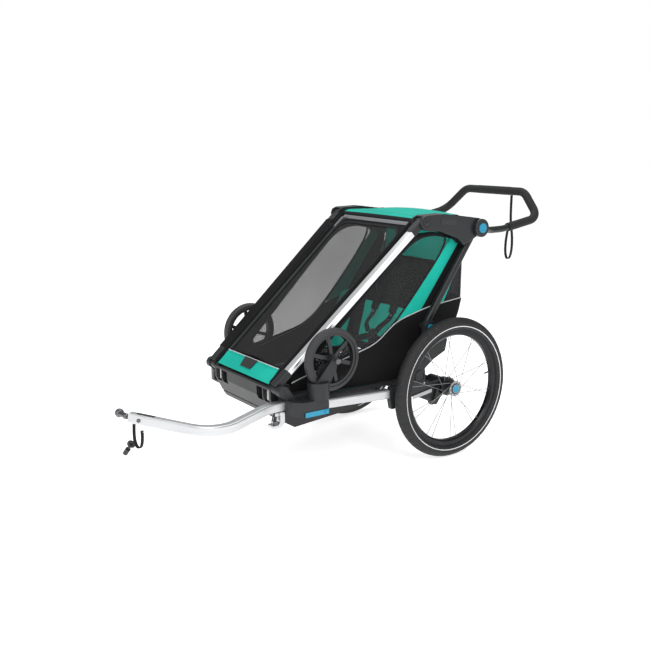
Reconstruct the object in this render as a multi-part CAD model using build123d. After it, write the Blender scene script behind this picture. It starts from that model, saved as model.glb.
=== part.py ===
from build123d import *
import math
import os

# A folding one-seat child bicycle trailer, in millimetres, at its real size.
# +Z is up, -Y is the front, towards the bicycle, and +X is the trailer's left side.
# Every piece is laid out about the wheel axle: the ground is Z = 0 and the axle is over Y = 0.
# export() then moves it back, so that the origin lies on the ground under the middle of the object.
# Points written as (y, z) pairs are outlines in a plane across X.

RUN = 0.05  # radial clearance of a pin that turns
SLIP = 0.3  # clearance of a piece that slides, and between touching curved faces
LANE = 2.5  # side clearance between folding pieces

# Road wheels, 47-406
WHEEL_R = 250.0
TYRE_W = 47.0
SEAT_R = 208.0  # the rim's outer face, on which the tyre sits
RIM_IN_R = 188.0
RIM_W = 25.0
TRACK_HALF = 300.0
SPOKE_R = 1.1
SPOKE_PAIRS = 10
FIRST_PAIR = 94.8
PAIR_HALF = 3.2  # degrees from a pair's middle to each of its spokes, at the rim
HUB_LEAN = 40.0  # degrees from a pair's middle to each of its spokes, at the hub
HUB_R = 20.0
FLANGE_R = 27.0
FLANGE_OUT = 17.0
FLANGE_T = 3.0
HUB_INNER = 27.0  # hub ends, from the wheel's middle plane
HUB_OUTER = 25.0
AXLE_R = 6.0
AXLE_END = 13.0
BUTTON_R = 13.5
BUTTON_PROUD = 1.0
BUTTON_TRAVEL = 3.0
RING_R = 33.0  # notched ring that the parking brake holds
RING_T = 12.0
RING_NOTCHES = 12
NOTCH_W = 9.0
NOTCH_FLOOR_R = 24.0

# Chassis
AXLE_Z = WHEEL_R
BRACKET_T = 17.0
BRACKET_OUT = TRACK_HALF - TYRE_W / 2 - 6.0
BRACKET_IN = BRACKET_OUT - BRACKET_T
BEAM_R = 15.0
HOUSING_R = 26.0
BOSS_AT = (-121.0, AXLE_Z + 51.0)
BOSS_R = 23.0
HOUSING_IN = 190.0
RAIL_W = 30.0
RAIL_H = 32.0
RAIL_WALL = 3.0
RAIL_Z = 262.0
RAIL_FRONT_X = 229.0
RAIL_FRONT_Y = -511.0
RAIL_REAR_Y = -WHEEL_R - 5.0
TUB_HALF = 186.0
TUB_WALL = 4.0
TUB_TOP = 284.0
TUB_REAR = -45.0
SHELF_Z = 262.0
SEAT_TOP = 312.0

# Folding frame: the four pivots of each side's linkage, as (y, z)
NOSE_PIVOT = (-659.0, 327.0)
CROWN_PIVOT = (-98.0, 828.0)
HANDLE_PIVOT = (150.0, 799.0)
REAR_PIVOT = (-78.0, 470.0)
PIVOT_R = 6.0
HANDLE_PIN_R = 8.0
REAR_PIN_R = 7.0
OPEN_PIVOT = 6.0  # radial clearance of the linkage's opened pivot
TUBE_W = 30.0
TUBE_H = 21.0
TUBE_WALL = 2.5
GROOVE_W = 2.2  # the slot that holds the cover's edge bead
GROOVE_DEPTH = 1.2
GROOVE_OFF = -2.5
TUBE_FOOT = (-642.0, 361.0)
TUBE_HEAD = (-127.0, 809.0)
HEAD_X = BRACKET_IN - 3.5 - TUBE_W / 2
FOOT_X = HEAD_X - 30.0
KNUCKLE_W = TUBE_W + 2.0
KNUCKLE_H = TUBE_H + 6.0
NOSE_KNUCKLE_R = 16.0
CROWN_KNUCKLE_R = 18.0
CHEEK_OUT_T = 9.5
CHEEK_IN_T = 7.5
CHEEK_OUT = HEAD_X + TUBE_W / 2 + LANE  # inner face of the casing's outer cheek
CHEEK_IN = HEAD_X - TUBE_W / 2 - LANE  # outer face of its inner cheek
REAR_TUBE_R = 11.0
REAR_TUBE_H = 24.0
REAR_X = BRACKET_IN - 3.0 - REAR_TUBE_R

# Handlebar
BAR_R = 12.0
GRIP_R = 15.5
GRIP_MID = 85.0  # half length of the crossbar's plain middle sleeve
HANDLE_HUB_R = 32.0
HANDLE_HUB_OUT = 5.5  # its outer face, outboard of the rear brackets' outer face
HANDLE_BUTTON_R = 17.0
HANDLE_BUTTON_TRAVEL = 3.0
BAR_TOP_Y = 484.0
BAR_TOP_Z = 908.5

# Stroller wheels, stowed upright on the front housings
STROLL_X = TRACK_HALF - 38.0
FORK_Y = -542.0
STROLL_Y = -489.0
STROLL_Z = 415.0
STROLL_R = 102.0
STROLL_W = 26.0
STROLL_TREAD = 14.0
STROLL_RIM = 10.0
STROLL_HUB_R = 16.0
STROLL_SPOKES = 6
FORK_GAP = 2.0
FORK_T = 6.0
POST_R = 11.0
CUP_R = 36.0
CUP_TOP = 350.0
STROLL_BOLT_R = 4.0

# Front housings, bumper and hitch
HOUSE_OUT = TRACK_HALF - 15.0
HOUSE_IN = TRACK_HALF - 108.0
HOUSE_CHEEK_OUT = TRACK_HALF - 55.0  # outer face of the cheek that holds the nose pivot
HOUSE_TOP = 295.0
HOUSE_REAR = -513.0
HOUSE_FRONT = -652.0
BUMPER_HALF = TRACK_HALF - 113.0
ARM_SIZE = 30.0
ARM_WALL = 3.0
ARM_X = TRACK_HALF - 80.0
ARM_Z = 278.0
ARM_DEPTH = 60.0  # length of the arm inside its receiver
BALL_R = 14.0
STEM_R = 8.5
BALL_AT = (61.0, -1128.0, 300.0)
ARM_TIP = (116.0, -1118.0, 300.0)

# Soft parts
CLOTH = 1.5
COVER_T = 3.0
STRAP_R = 3.0
HITCH_STRAP_R = 2.5

# Fold buttons, slide locks and brake
FOLD_BUTTON_R = 12.0
FOLD_TRAVEL = 2.0
LOCK_TRAVEL = 10.0
LOCK_T = 4.7
BRAKE_AT = (-50.0, AXLE_Z - 50.0)
BRAKE_R = 6.0

# How far the axle lies behind the middle of the whole object
AXLE_BACK = -(BALL_AT[1] - BALL_R + BAR_TOP_Y + GRIP_R) / 2

TUBE_LENGTH = math.dist(TUBE_FOOT, TUBE_HEAD)
TUBE_DY = (TUBE_HEAD[0] - TUBE_FOOT[0]) / TUBE_LENGTH
TUBE_DZ = (TUBE_HEAD[1] - TUBE_FOOT[1]) / TUBE_LENGTH


# Shared helpers
def plate(points, x0, x1, corner=0.0):
    """A flat plate across X, from its outline of (y, z) points, with its outline's corners rounded."""
    face = make_face(Plane.YZ.offset(x0) * Polyline(*points, close=True))
    if corner:
        face = fillet(face.vertices(), corner)
    return extrude(face, x1 - x0, dir=(1, 0, 0))


def soften(body, axis, which, radius):
    """Rounds the outer rim of the body's face that lies furthest along an axis."""
    face = body.faces().sort_by(axis)[which]
    return fillet(face.outer_wire().edges(), radius)


def disc(at, radius, x0, x1):
    """A round disc or pin along X, centred on a (y, z) point."""
    return Pos(x0, at[0], at[1]) * Rot(0, 90, 0) * extrude(Circle(radius), x1 - x0)


def rod(start, end, radius):
    """A straight round rod between two points."""
    along = Vector(*end) - Vector(*start)
    return extrude(Plane(origin=start, z_dir=along) * Circle(radius), along.length)


def bar(start, end, width, height, corner):
    """A straight extrusion with a rounded rectangular section, its width level along X."""
    along = Vector(*end) - Vector(*start)
    section = Plane(origin=start, x_dir=(1, 0, 0), z_dir=along) * RectangleRounded(width, height, corner)
    return extrude(section, along.length)


def block(x0, x1, y0, y1, z0, z1):
    """A box from its limits."""
    return Pos((x0 + x1) / 2, (y0 + y1) / 2, (z0 + z1) / 2) * Box(x1 - x0, y1 - y0, z1 - z0)


def tube_along(path, radius):
    """A round solid swept along a path."""
    return sweep(Plane(origin=path @ 0, z_dir=path % 0) * Circle(radius), path=path)


def pair(shape):
    """The left piece and its mirror image on the right."""
    return Compound([*shape.solids(), *mirror(shape, about=Plane.YZ).solids()])


def other_side(shape):
    return mirror(shape, about=Plane.YZ)


def export(name, shape):
    """Writes one node, moved so that the origin is under the middle of the object."""
    export_step(Pos(0, AXLE_BACK, 0) * shape, f"parts/{name}.step")


def export_sides(name, left):
    """Writes a left piece and its mirror image as two nodes."""
    export(f"{name}_left", left)
    export(f"{name}_right", other_side(left))


def on_tube(along, off=0.0):
    """A (y, z) point at a distance up the front tube from its foot, and off to its upper side."""
    y = TUBE_FOOT[0] + along * TUBE_DY - off * TUBE_DZ
    z = TUBE_FOOT[1] + along * TUBE_DZ + off * TUBE_DY
    return (y, z)


def tube_point(along):
    """The point on the left front tube's centre line, which leans outward as it rises."""
    x = FOOT_X + (HEAD_X - FOOT_X) * along / TUBE_LENGTH
    return (x, *on_tube(along))


# Road wheels
def spin_profile(points):
    """Turns an outline of (radius, x) points about the left wheel's axle."""
    face = make_face(Plane.XZ * Polyline(*points, close=True))
    return Pos(TRACK_HALF, 0, AXLE_Z) * Rot(0, 90, 0) * revolve(face, Axis.Z)


def tyre():
    ring = Torus(WHEEL_R - TYRE_W / 2, TYRE_W / 2) - Cylinder(SEAT_R, TYRE_W)
    return Pos(TRACK_HALF, 0, AXLE_Z) * Rot(0, 90, 0) * ring


def rim():
    half = RIM_W / 2
    wall = SEAT_R - 14.0
    return spin_profile([(RIM_IN_R, -7), (wall, -half), (SEAT_R, -half), (SEAT_R, half), (wall, half), (RIM_IN_R, 7)])


def wheel_point(radius, degrees, x):
    """A point on the left wheel, x outward from its middle plane."""
    turn = math.radians(degrees)
    return (TRACK_HALF + x, radius * math.cos(turn), AXLE_Z + radius * math.sin(turn))


def spokes():
    """Crossed pairs: each pair leans in opposite ways and runs to opposite hub flanges."""
    wires = []
    for k in range(SPOKE_PAIRS):
        middle = FIRST_PAIR - k * 360 / SPOKE_PAIRS
        for side in (-1, 1):
            root = wheel_point(FLANGE_R, middle - side * HUB_LEAN, side * (FLANGE_OUT - FLANGE_T / 2))
            tip = wheel_point(RIM_IN_R - 0.2, middle + side * PAIR_HALF, side * 4.0)
            wires.append(rod(root, tip, SPOKE_R))
    return Compound(wires)


def hub():
    bore = AXLE_R + RUN
    ring_end = RING_T - HUB_INNER
    pocket = BUTTON_R + SLIP
    outline = [
        (bore, -HUB_INNER),
        (RING_R, -HUB_INNER),
        (RING_R, ring_end),
        (HUB_R, ring_end + 3),
        (HUB_R, FLANGE_OUT - FLANGE_T),
        (FLANGE_R, FLANGE_OUT - FLANGE_T),
        (FLANGE_R, FLANGE_OUT),
        (BUTTON_R + 8, FLANGE_OUT + 2),
        (BUTTON_R + 5, HUB_OUTER),
        (pocket, HUB_OUTER),
        (pocket, AXLE_END + 1.5),
        (bore, AXLE_END + 1.5),
    ]
    body = spin_profile(outline)
    depth = RING_R - NOTCH_FLOOR_R + 5
    notch = Pos(0, 0, NOTCH_FLOOR_R + depth / 2) * Box(RING_T, NOTCH_W, depth)
    for k in range(RING_NOTCHES):
        turn = Rot(90 + k * 360 / RING_NOTCHES, 0, 0)
        body -= Pos(TRACK_HALF - HUB_INNER + RING_T / 2, 0, AXLE_Z) * turn * notch
    inner_flange = FLANGE_T - FLANGE_OUT
    flange = disc((0, AXLE_Z), FLANGE_R, TRACK_HALF - FLANGE_OUT, TRACK_HALF + inner_flange)
    flange -= disc((0, AXLE_Z), HUB_R - 1, TRACK_HALF - FLANGE_OUT, TRACK_HALF + inner_flange)
    return body + flange - spokes()


def hub_button():
    inner = TRACK_HALF + AXLE_END + 1.5 + BUTTON_TRAVEL + SLIP
    cap = disc((0, AXLE_Z), BUTTON_R, inner, TRACK_HALF + HUB_OUTER + BUTTON_PROUD)
    return fillet(cap.edges().filter_by(GeomType.CIRCLE).sort_by(Axis.X)[-1], 0.8)


# Chassis
def rail_line(y):
    """A point on the left rail's centre line, which splays outward to the rear."""
    rear_x = BRACKET_OUT + 2.5 - RAIL_W / 2
    share = (y - RAIL_FRONT_Y) / (RAIL_REAR_Y - RAIL_FRONT_Y)
    return (RAIL_FRONT_X + (rear_x - RAIL_FRONT_X) * share, y, RAIL_Z - 2 * share)


def lower_rail():
    start = rail_line(RAIL_FRONT_Y)
    end = rail_line(RAIL_REAR_Y)
    solid = bar(start, end, RAIL_W, RAIL_H, 6)
    return solid - bar(start, end, RAIL_W - 2 * RAIL_WALL, RAIL_H - 2 * RAIL_WALL, 3)


def axle_beam():
    """The cross beam with its two end housings, one welded piece."""
    beam = disc((0, AXLE_Z), BEAM_R, -HOUSING_IN, HOUSING_IN)
    left = disc((0, AXLE_Z), HOUSING_R, HOUSING_IN, BRACKET_IN)
    return beam + left + other_side(left) - wheel_axle() - other_side(wheel_axle())


def wheel_axle():
    return disc((0, AXLE_Z), AXLE_R, HOUSING_IN + 10, TRACK_HALF + AXLE_END)


def rear_bracket():
    """The cast plate from the rail up to the fold pivot, with the arm that holds the axle."""
    y4, z4 = REAR_PIVOT
    outline = [
        (RAIL_REAR_Y + 3, RAIL_Z - 26),
        (RAIL_REAR_Y + 3, RAIL_Z + 20),
        (-190, RAIL_Z + 24),
        (-142, AXLE_Z + 80),
        (y4 - 28, z4 - 30),
        (y4 - 23, z4 + 10),
        (y4 - 12, z4 + 22),
        (y4 + 12, z4 + 22),
        (y4 + 24, z4 + 8),
        (-24, AXLE_Z + 196),
        (3, AXLE_Z + 168),
        (-6, AXLE_Z + 128),
        (-60, AXLE_Z + 104),
        (-98, AXLE_Z + 77),
        (-94, AXLE_Z + 47),
        (-104, AXLE_Z + 16),
        (-20, AXLE_Z + 22),
        (-10, AXLE_Z - 28),
        (-38, AXLE_Z - 60),
        (-62, AXLE_Z - 62),
        (-74, AXLE_Z - 38),
        (-160, AXLE_Z - 14),
        (RAIL_REAR_Y + 24, AXLE_Z - 45),
        (RAIL_REAR_Y + 10, AXLE_Z - 45),
    ]
    body = plate(outline, BRACKET_IN, BRACKET_OUT, 4)
    body = soften(body, Axis.X, -1, 1.5)
    body += disc((0, AXLE_Z), HOUSING_R + 4, BRACKET_IN, BRACKET_OUT)
    body += disc(BOSS_AT, BOSS_R, BRACKET_OUT - 1, BRACKET_OUT + 3)
    body -= disc(BOSS_AT, BOSS_R - 6, BRACKET_OUT + 1, BRACKET_OUT + 3)
    body -= disc((0, AXLE_Z), AXLE_R, BRACKET_IN, BRACKET_OUT)
    body -= disc(REAR_PIVOT, REAR_PIN_R, BRACKET_IN, BRACKET_OUT)
    body -= disc(REAR_PIVOT, FOLD_BUTTON_R + SLIP, fold_pocket(), BRACKET_OUT)
    return body - disc(BRAKE_AT, BRAKE_R + RUN, BRACKET_IN, BRACKET_OUT)


def suspension_link():
    """The flat steel link along the axle arm's outer face."""
    face = BRACKET_OUT + SLIP
    low, high = (-152, AXLE_Z - 25), (-68, AXLE_Z - 12)
    body = plate([low, high, (high[0], high[1] + 13), (low[0], low[1] + 13)], face, face + 4)
    return body


def fold_pocket():
    """Where the floor of the fold button's pocket lies."""
    return BRACKET_OUT - FOLD_TRAVEL - 4.0


def fold_button():
    return disc(REAR_PIVOT, FOLD_BUTTON_R, fold_pocket() + FOLD_TRAVEL + SLIP, BRACKET_OUT + 3.0)


def rear_pivot_pin():
    return disc(REAR_PIVOT, REAR_PIN_R, REAR_X - REAR_TUBE_R - 1, fold_pocket())


def arm_socket(clearance):
    size = ARM_SIZE + 2 * clearance
    front = HOUSE_FRONT - 10
    return bar((ARM_X, front, ARM_Z), (ARM_X, HOUSE_FRONT + ARM_DEPTH, ARM_Z), size, size, 5)


def front_housing():
    """The black housing that joins rail, bumper, hitch receiver and stroller wheel socket."""
    side = [
        (HOUSE_FRONT, HOUSE_TOP + 5),
        (HOUSE_FRONT, ARM_Z - 23),
        (-557, 234),
        (HOUSE_REAR, 248),
        (HOUSE_REAR, HOUSE_TOP - 15),
        (HOUSE_REAR - 8, HOUSE_TOP),
        (-600, HOUSE_TOP),
    ]
    plan = Polyline(
        (HOUSE_IN, HOUSE_FRONT),
        (HOUSE_CHEEK_OUT, HOUSE_FRONT),
        (HOUSE_OUT - 12, -645),
        (HOUSE_OUT, -618),
        (HOUSE_OUT, HOUSE_REAR),
        (HOUSE_IN, HOUSE_REAR),
        close=True,
    )
    body = plate(side, HOUSE_IN, HOUSE_OUT, 3) & extrude(fillet(make_face(plan).vertices(), 5), 400)
    cheek_in = FOOT_X + KNUCKLE_W / 2 + LANE
    cheek = plate([(HOUSE_FRONT, HOUSE_TOP - 5), (-612, HOUSE_TOP - 5), (-640, NOSE_PIVOT[1] + 8)], cheek_in, HOUSE_CHEEK_OUT, 3)
    cheek += disc(NOSE_PIVOT, NOSE_KNUCKLE_R + 3, cheek_in, HOUSE_CHEEK_OUT)
    body += cheek - disc(NOSE_PIVOT, PIVOT_R, cheek_in, HOUSE_CHEEK_OUT)
    body -= arm_socket(SLIP)
    body -= Pos(STROLL_X, FORK_Y, 150) * extrude(Circle(POST_R + RUN), 300)
    return body - lock_shape(LOCK_TRAVEL + SLIP, SLIP)


def lock_shape(extra_front, around):
    """The slide lock's bar, grown by its travel and clearance where it makes its pocket."""
    x0 = HOUSE_OUT - 2 - around
    return block(x0, x0 + LOCK_T, -606 - extra_front, -518, 246 - around, 262 + around)


def slide_lock():
    grip = block(HOUSE_OUT + 0.7, HOUSE_OUT + 5, -534, -520, 249, 259)
    return lock_shape(0, 0) + grip


def front_bumper():
    outline = [(-675, 332), (-674, 290), (-645, 233.4), (-600, 234), (-600, 332)]
    body = plate(outline, -BUMPER_HALF, BUMPER_HALF, 6)
    ear = disc(NOSE_PIVOT, 13, BUMPER_HALF - 17, BUMPER_HALF)
    body += ear + other_side(ear)
    body = body - recess(100, 135) - recess(141, 176)
    body -= other_side(recess(100, 135)) + other_side(recess(141, 176))
    pins = nose_pivot_pin()
    return body - pins - other_side(pins)


def recess(x0, x1):
    return block(x0, x1, -690, -655, 277, 321)


def front_reflector():
    return block(143, 174, -661, -655, 281, 317)


def nose_pivot_pin():
    return disc(NOSE_PIVOT, PIVOT_R, BUMPER_HALF - 10, HOUSE_CHEEK_OUT - 1)


def floor_tub():
    """Footwell and seat shelf: an open tray with a flange that rests beside the rails."""
    front, toe, low = -596.0, -645.0, 184.0
    w = TUB_WALL
    outside = [
        (front, TUB_TOP),
        (front, 233),
        (toe, 232),
        (toe + 14, low + 28),
        (toe + 62, low),
        (-330, low + 22),
        (-262, SHELF_Z),
        (TUB_REAR, SHELF_Z),
        (TUB_REAR, TUB_TOP),
    ]
    inside = [
        (front + w, TUB_TOP + 1),
        (front + w, 233 - w),
        (toe + w, 232 - w),
        (toe + 14 + w, low + 28 + 0.3 * w),
        (toe + 62 + 0.5 * w, low + w),
        (-330 - 2, low + 22 + w),
        (-264, SHELF_Z + w),
        (TUB_REAR - w, SHELF_Z + w),
        (TUB_REAR - w, TUB_TOP + 1),
    ]
    body = plate(outside, -TUB_HALF, TUB_HALF)
    flange = block(TUB_HALF - 1, RAIL_FRONT_X - RAIL_W / 2 - 1, HOUSE_REAR + 3, RAIL_REAR_Y, TUB_TOP - w, TUB_TOP)
    body = body + flange + other_side(flange)
    return body - plate(inside, -TUB_HALF + w, TUB_HALF - w)


def seat_base():
    half = TUB_HALF - TUB_WALL - 1
    top = SEAT_TOP
    low = SHELF_Z + TUB_WALL + 0.2
    outline = [(-254, low), (-258, top - 20), (-245, top - 4), (-120, top - 8), (TUB_REAR - 8, top), (TUB_REAR - 6, low)]
    return plate(outline, -half, half, 6)


BACK_LEAN = [(-98.0, SEAT_TOP + 8), (2.0, 700.0)]
BACK_T = 26.0


def seat_back():
    (y0, z0), (y1, z1) = BACK_LEAN
    return plate([(y0, z0), (y0 + BACK_T, z0), (y1 + BACK_T, z1), (y1, z1)], -195, 195)


def back_strap(x0, x1, low, high):
    """A strap lying on the seat back's front face."""
    (y0, z0), (y1, z1) = BACK_LEAN

    def front(z):
        return y0 + (y1 - y0) * (z - z0) / (z1 - z0) - 0.3

    points = [(front(low) - 2.5, low), (front(low), low), (front(high), high), (front(high) - 2.5, high)]
    return plate(points, x0, x1)


def harness():
    shoulder = back_strap(38, 66, 400, 640)
    lap = back_strap(70, 150, 345, 370)
    buckle = block(-24, 24, -130, -112, 372, 424)
    crotch = block(-14, 14, -200, -125, SEAT_TOP + 0.4, SEAT_TOP + 3)
    return Compound([shoulder, other_side(shoulder), lap, other_side(lap), buckle, crotch])


# Side cloth
SIDE_FRONT_X = 187.0
SIDE_REAR_X = BRACKET_IN - 31.5
SIDE_FRONT_Y = -640.0
SIDE_BEND_Y = -100.0
UNDER_TUBE = -16.0  # the cloth's front edge, below the tube's centre line


def side_slab():
    """The thin upright sheet, slanting outward to the rear, in which the side cloth lies."""
    outer = [(SIDE_FRONT_X, SIDE_FRONT_Y), (SIDE_REAR_X, SIDE_BEND_Y), (SIDE_REAR_X, 150)]
    inner = [(x - CLOTH, y) for x, y in reversed(outer)]
    return extrude(make_face(Polyline(*outer, *inner, close=True)), 1000)


WINDOW = [(-547, 372), (-196, 706), (-110, 774), (-22, 786), (50, 763), (-178, 500), (-268, 430), (-345, 408)]


def side_panel():
    outline = [
        on_tube(46, UNDER_TUBE),
        on_tube(TUBE_LENGTH - 28, UNDER_TUBE),
        (-118, 793),
        (-36, 796),
        (55, 768),
        (74, 745),
        (88, 712),
        (90, 550),
        (77, 487),
        (38, 408),
        (-74, TUB_TOP + 26),
        (-78, TUB_TOP + 4),
        (HOUSE_REAR + 8, TUB_TOP + 4),
        (HOUSE_REAR + 8, HOUSE_TOP + 11),
        (-597, HOUSE_TOP + 11),
    ]
    return (plate(outline, 150, 260) - plate(WINDOW, 150, 260)) & side_slab()


def side_window():
    return plate(WINDOW, 150, 260) & side_slab()


def rear_panel():
    outer = [(86, 712), (88, 550), (75, 488), (37, 411), (-70, TUB_TOP + 30)]
    inner = [(y - 3, z - 1) for y, z in reversed(outer)]
    half = SIDE_REAR_X - CLOTH - 1.5
    return plate(outer + inner, -half, half)


# Front frame
def front_tube():
    start = tube_point(0)
    end = tube_point(TUBE_LENGTH)
    solid = bar(start, end, TUBE_W, TUBE_H, 5)
    solid -= bar(start, end, TUBE_W - 2 * TUBE_WALL, TUBE_H - 2 * TUBE_WALL, 2.5)
    step = Vector(TUBE_W / 2, -TUBE_DZ * GROOVE_OFF, TUBE_DY * GROOVE_OFF)
    groove = bar(tuple(Vector(*start) + step), tuple(Vector(*end) + step), 2 * GROOVE_DEPTH, GROOVE_W, 0.5)
    return solid - groove


def tube_envelope():
    return bar(tube_point(0), tube_point(TUBE_LENGTH), TUBE_W, TUBE_H, 5)


def knuckles():
    """The moulded ends of the front tube, each turning on its pivot pin."""
    half = TUBE_W / 2
    nose = disc(NOSE_PIVOT, NOSE_KNUCKLE_R, FOOT_X - half, FOOT_X + half)
    nose += bar(tube_point(-34), tube_point(28), KNUCKLE_W, KNUCKLE_H, 5)
    nose -= disc(NOSE_PIVOT, PIVOT_R + RUN, FOOT_X - 40, FOOT_X + 40)
    crown = disc(CROWN_PIVOT, CROWN_KNUCKLE_R, HEAD_X - half, HEAD_X + half)
    crown += bar(tube_point(TUBE_LENGTH - 24), tube_point(TUBE_LENGTH + 30), KNUCKLE_W, KNUCKLE_H, 5)
    crown -= disc(CROWN_PIVOT, PIVOT_R + RUN, HEAD_X - 40, HEAD_X + 40)
    return Compound([*(nose - tube_envelope()).solids(), *(crown - tube_envelope()).solids()])


COVER_PLANE = Plane(origin=(0, *TUBE_FOOT), x_dir=(1, 0, 0), z_dir=(0, -TUBE_DZ, TUBE_DY))
COVER_LOW = -34.0
COVER_HIGH = TUBE_LENGTH + 30.0
COVER_FOOT_HALF = FOOT_X - TUBE_W / 2 - 3
COVER_HEAD_HALF = CHEEK_IN - CHEEK_IN_T - 4


def cover_outline(low, high, inset):
    """A tapered outline in the cover's plane, inset from the cover's side edges."""
    half_low = COVER_FOOT_HALF - inset
    half_high = COVER_HEAD_HALF - inset
    return make_face(Polyline((-half_low, low), (half_low, low), (half_high, high), (-half_high, high), close=True))


def cover_sheet(face, thick):
    return extrude(COVER_PLANE * Pos(0, 0, -thick / 2) * face, thick, dir=COVER_PLANE.z_dir)


def front_cover():
    hole = cover_outline(34, TUBE_LENGTH - 6, 26)
    hole = fillet(hole.vertices().sort_by(Axis.Y)[-2:], 55)
    return cover_sheet(cover_outline(COVER_LOW, COVER_HIGH, 0) - hole, COVER_T)


def front_window():
    face = cover_outline(34, TUBE_LENGTH - 6, 26)
    return cover_sheet(fillet(face.vertices().sort_by(Axis.Y)[-2:], 55), 1.2)


# Upper frame
CASING = [
    (-115, 809),
    (-124, 828),
    (-117, 846),
    (-99, 853),
    (-13, 855),
    (151, 833),
    (172, 812),
    (172, 786),
    (121, 762),
    (76, 742),
    (50, 768),
    (-34, 797),
    (-98, 801),
]


def crown_casing():
    """Two cheeks with the folding tubes between them, joined by a top web."""
    outer = soften(plate(CASING, CHEEK_OUT, CHEEK_OUT + CHEEK_OUT_T, 4), Axis.X, -1, 2.5)
    outer -= disc(HANDLE_PIVOT, HANDLE_HUB_R + 1, CHEEK_OUT, CHEEK_OUT + CHEEK_OUT_T)
    outer = outer.solids().sort_by(SortBy.VOLUME)[-1]
    inner = plate(CASING, CHEEK_IN - CHEEK_IN_T, CHEEK_IN, 4)
    ridge = [(-106, 850.2), (-99, 853), (-13, 855), (120, 837.5), (120, 834), (-13, 851.5), (-98.5, 850), (-105, 847.6)]
    web = plate(ridge, CHEEK_IN - 1, CHEEK_OUT + 1)
    return outer + inner + web - crown_pin() - handle_pin()


def crown_pin():
    return disc(CROWN_PIVOT, PIVOT_R, CHEEK_IN - CHEEK_IN_T, CHEEK_OUT + CHEEK_OUT_T)


def handle_pin():
    return disc(HANDLE_PIVOT, HANDLE_PIN_R, CHEEK_IN - CHEEK_IN_T, hub_face() - 7.0)


def roof_half():
    return CHEEK_IN - CHEEK_IN_T - 3


def roof_panel():
    """A crowned sheet between the casings."""
    half = roof_half()
    top = ThreePointArc((-half, 0, 842), (0, 0, 863), (half, 0, 842))
    low = ThreePointArc((half, 0, 839), (0, 0, 860), (-half, 0, 839))
    edge = [Line(top @ 1, low @ 0), Line(low @ 1, top @ 0)]
    face = make_face([top, edge[0], low, edge[1]])
    return Pos(0, -93, 0) * extrude(face, 203, dir=(0, 1, 0))


def roof_cross_tubes():
    inner = CHEEK_IN - CHEEK_IN_T
    front = disc((-52, 818), 9, -inner, inner)
    rear = disc((92, 803), 9, -inner, inner)
    return Compound([front, rear])


# Rear frame
def rear_tube():
    low = (REAR_X, *REAR_PIVOT)
    high = (REAR_X, *HANDLE_PIVOT)
    body = bar(low, high, 2 * REAR_TUBE_R, REAR_TUBE_H, 8)
    body += disc(REAR_PIVOT, REAR_TUBE_R + 4, REAR_X - REAR_TUBE_R, REAR_X + REAR_TUBE_R)
    eye = HANDLE_PIN_R + OPEN_PIVOT
    body += disc(HANDLE_PIVOT, eye + 8, REAR_X - REAR_TUBE_R, REAR_X + REAR_TUBE_R)
    body -= disc(HANDLE_PIVOT, eye, REAR_X - 30, REAR_X + 30)
    return body - disc(REAR_PIVOT, REAR_PIN_R + RUN, REAR_X - 30, REAR_X + 30)


# Handlebar
def hub_face():
    """The handlebar hub's outer face."""
    return BRACKET_OUT + HANDLE_HUB_OUT


def bar_points(first):
    """The handlebar's left half as corner points, from its hub to the crossbar's end."""
    y, z = HANDLE_PIVOT
    arm_x = hub_face() - 30
    points = [
        (hub_face() - 13.5, y + 28, z - 6),
        (arm_x, y + 64, z - 13),
        (arm_x, y + 130, z - 12),
        (arm_x + 4, BAR_TOP_Y - 22, BAR_TOP_Z - 89.5),
        (arm_x - 90, BAR_TOP_Y, BAR_TOP_Z),
    ]
    return points[first:]


BAR_RADII = [55, 180, 60, 60]


def bar_path(start, radii):
    """The whole handlebar path, mirrored over the middle."""
    left = start
    right = [(-x, y, z) for x, y, z in reversed(left)]
    return FilletPolyline(*left, *right, radius=radii + radii[::-1])


def handlebar_tube():
    return tube_along(bar_path(bar_points(0), BAR_RADII), BAR_R)


def handlebar_grip():
    corner = bar_points(2)
    start = tuple(a + (b - a) * 0.14 for a, b in zip(corner[0], corner[1]))
    path = bar_path([start, *corner[1:]], BAR_RADII[2:])
    middle = rod((-GRIP_MID, BAR_TOP_Y, BAR_TOP_Z), (GRIP_MID, BAR_TOP_Y, BAR_TOP_Z), GRIP_R + 0.6)
    return tube_along(path, GRIP_R) + middle - handlebar_tube()


def handlebar_hub():
    face = hub_face()
    body = disc(HANDLE_PIVOT, HANDLE_HUB_R, CHEEK_OUT + SLIP, face)
    body = fillet(body.edges().filter_by(GeomType.CIRCLE).sort_by(Axis.X)[-1], 3)
    body -= disc(HANDLE_PIVOT, HANDLE_PIN_R + RUN, CHEEK_OUT, face - 6)
    body -= disc(HANDLE_PIVOT, HANDLE_BUTTON_R + SLIP, face - 6, face)
    return body - handlebar_tube()


def handle_button():
    face = hub_face()
    return disc(HANDLE_PIVOT, HANDLE_BUTTON_R, face - 6 + HANDLE_BUTTON_TRAVEL + SLIP / 2, face + 3)


# Cords
def soft_radii(points):
    """The largest easy arc at each corner of a hanging cord."""
    radii = []
    for before, here, after in zip(points, points[1:], points[2:]):
        first = Vector(*here) - Vector(*before)
        second = Vector(*after) - Vector(*here)
        turn = math.radians(first.get_angle(second))
        radii.append(0.45 * min(first.length, second.length) / math.tan(turn / 2))
    return radii


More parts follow.
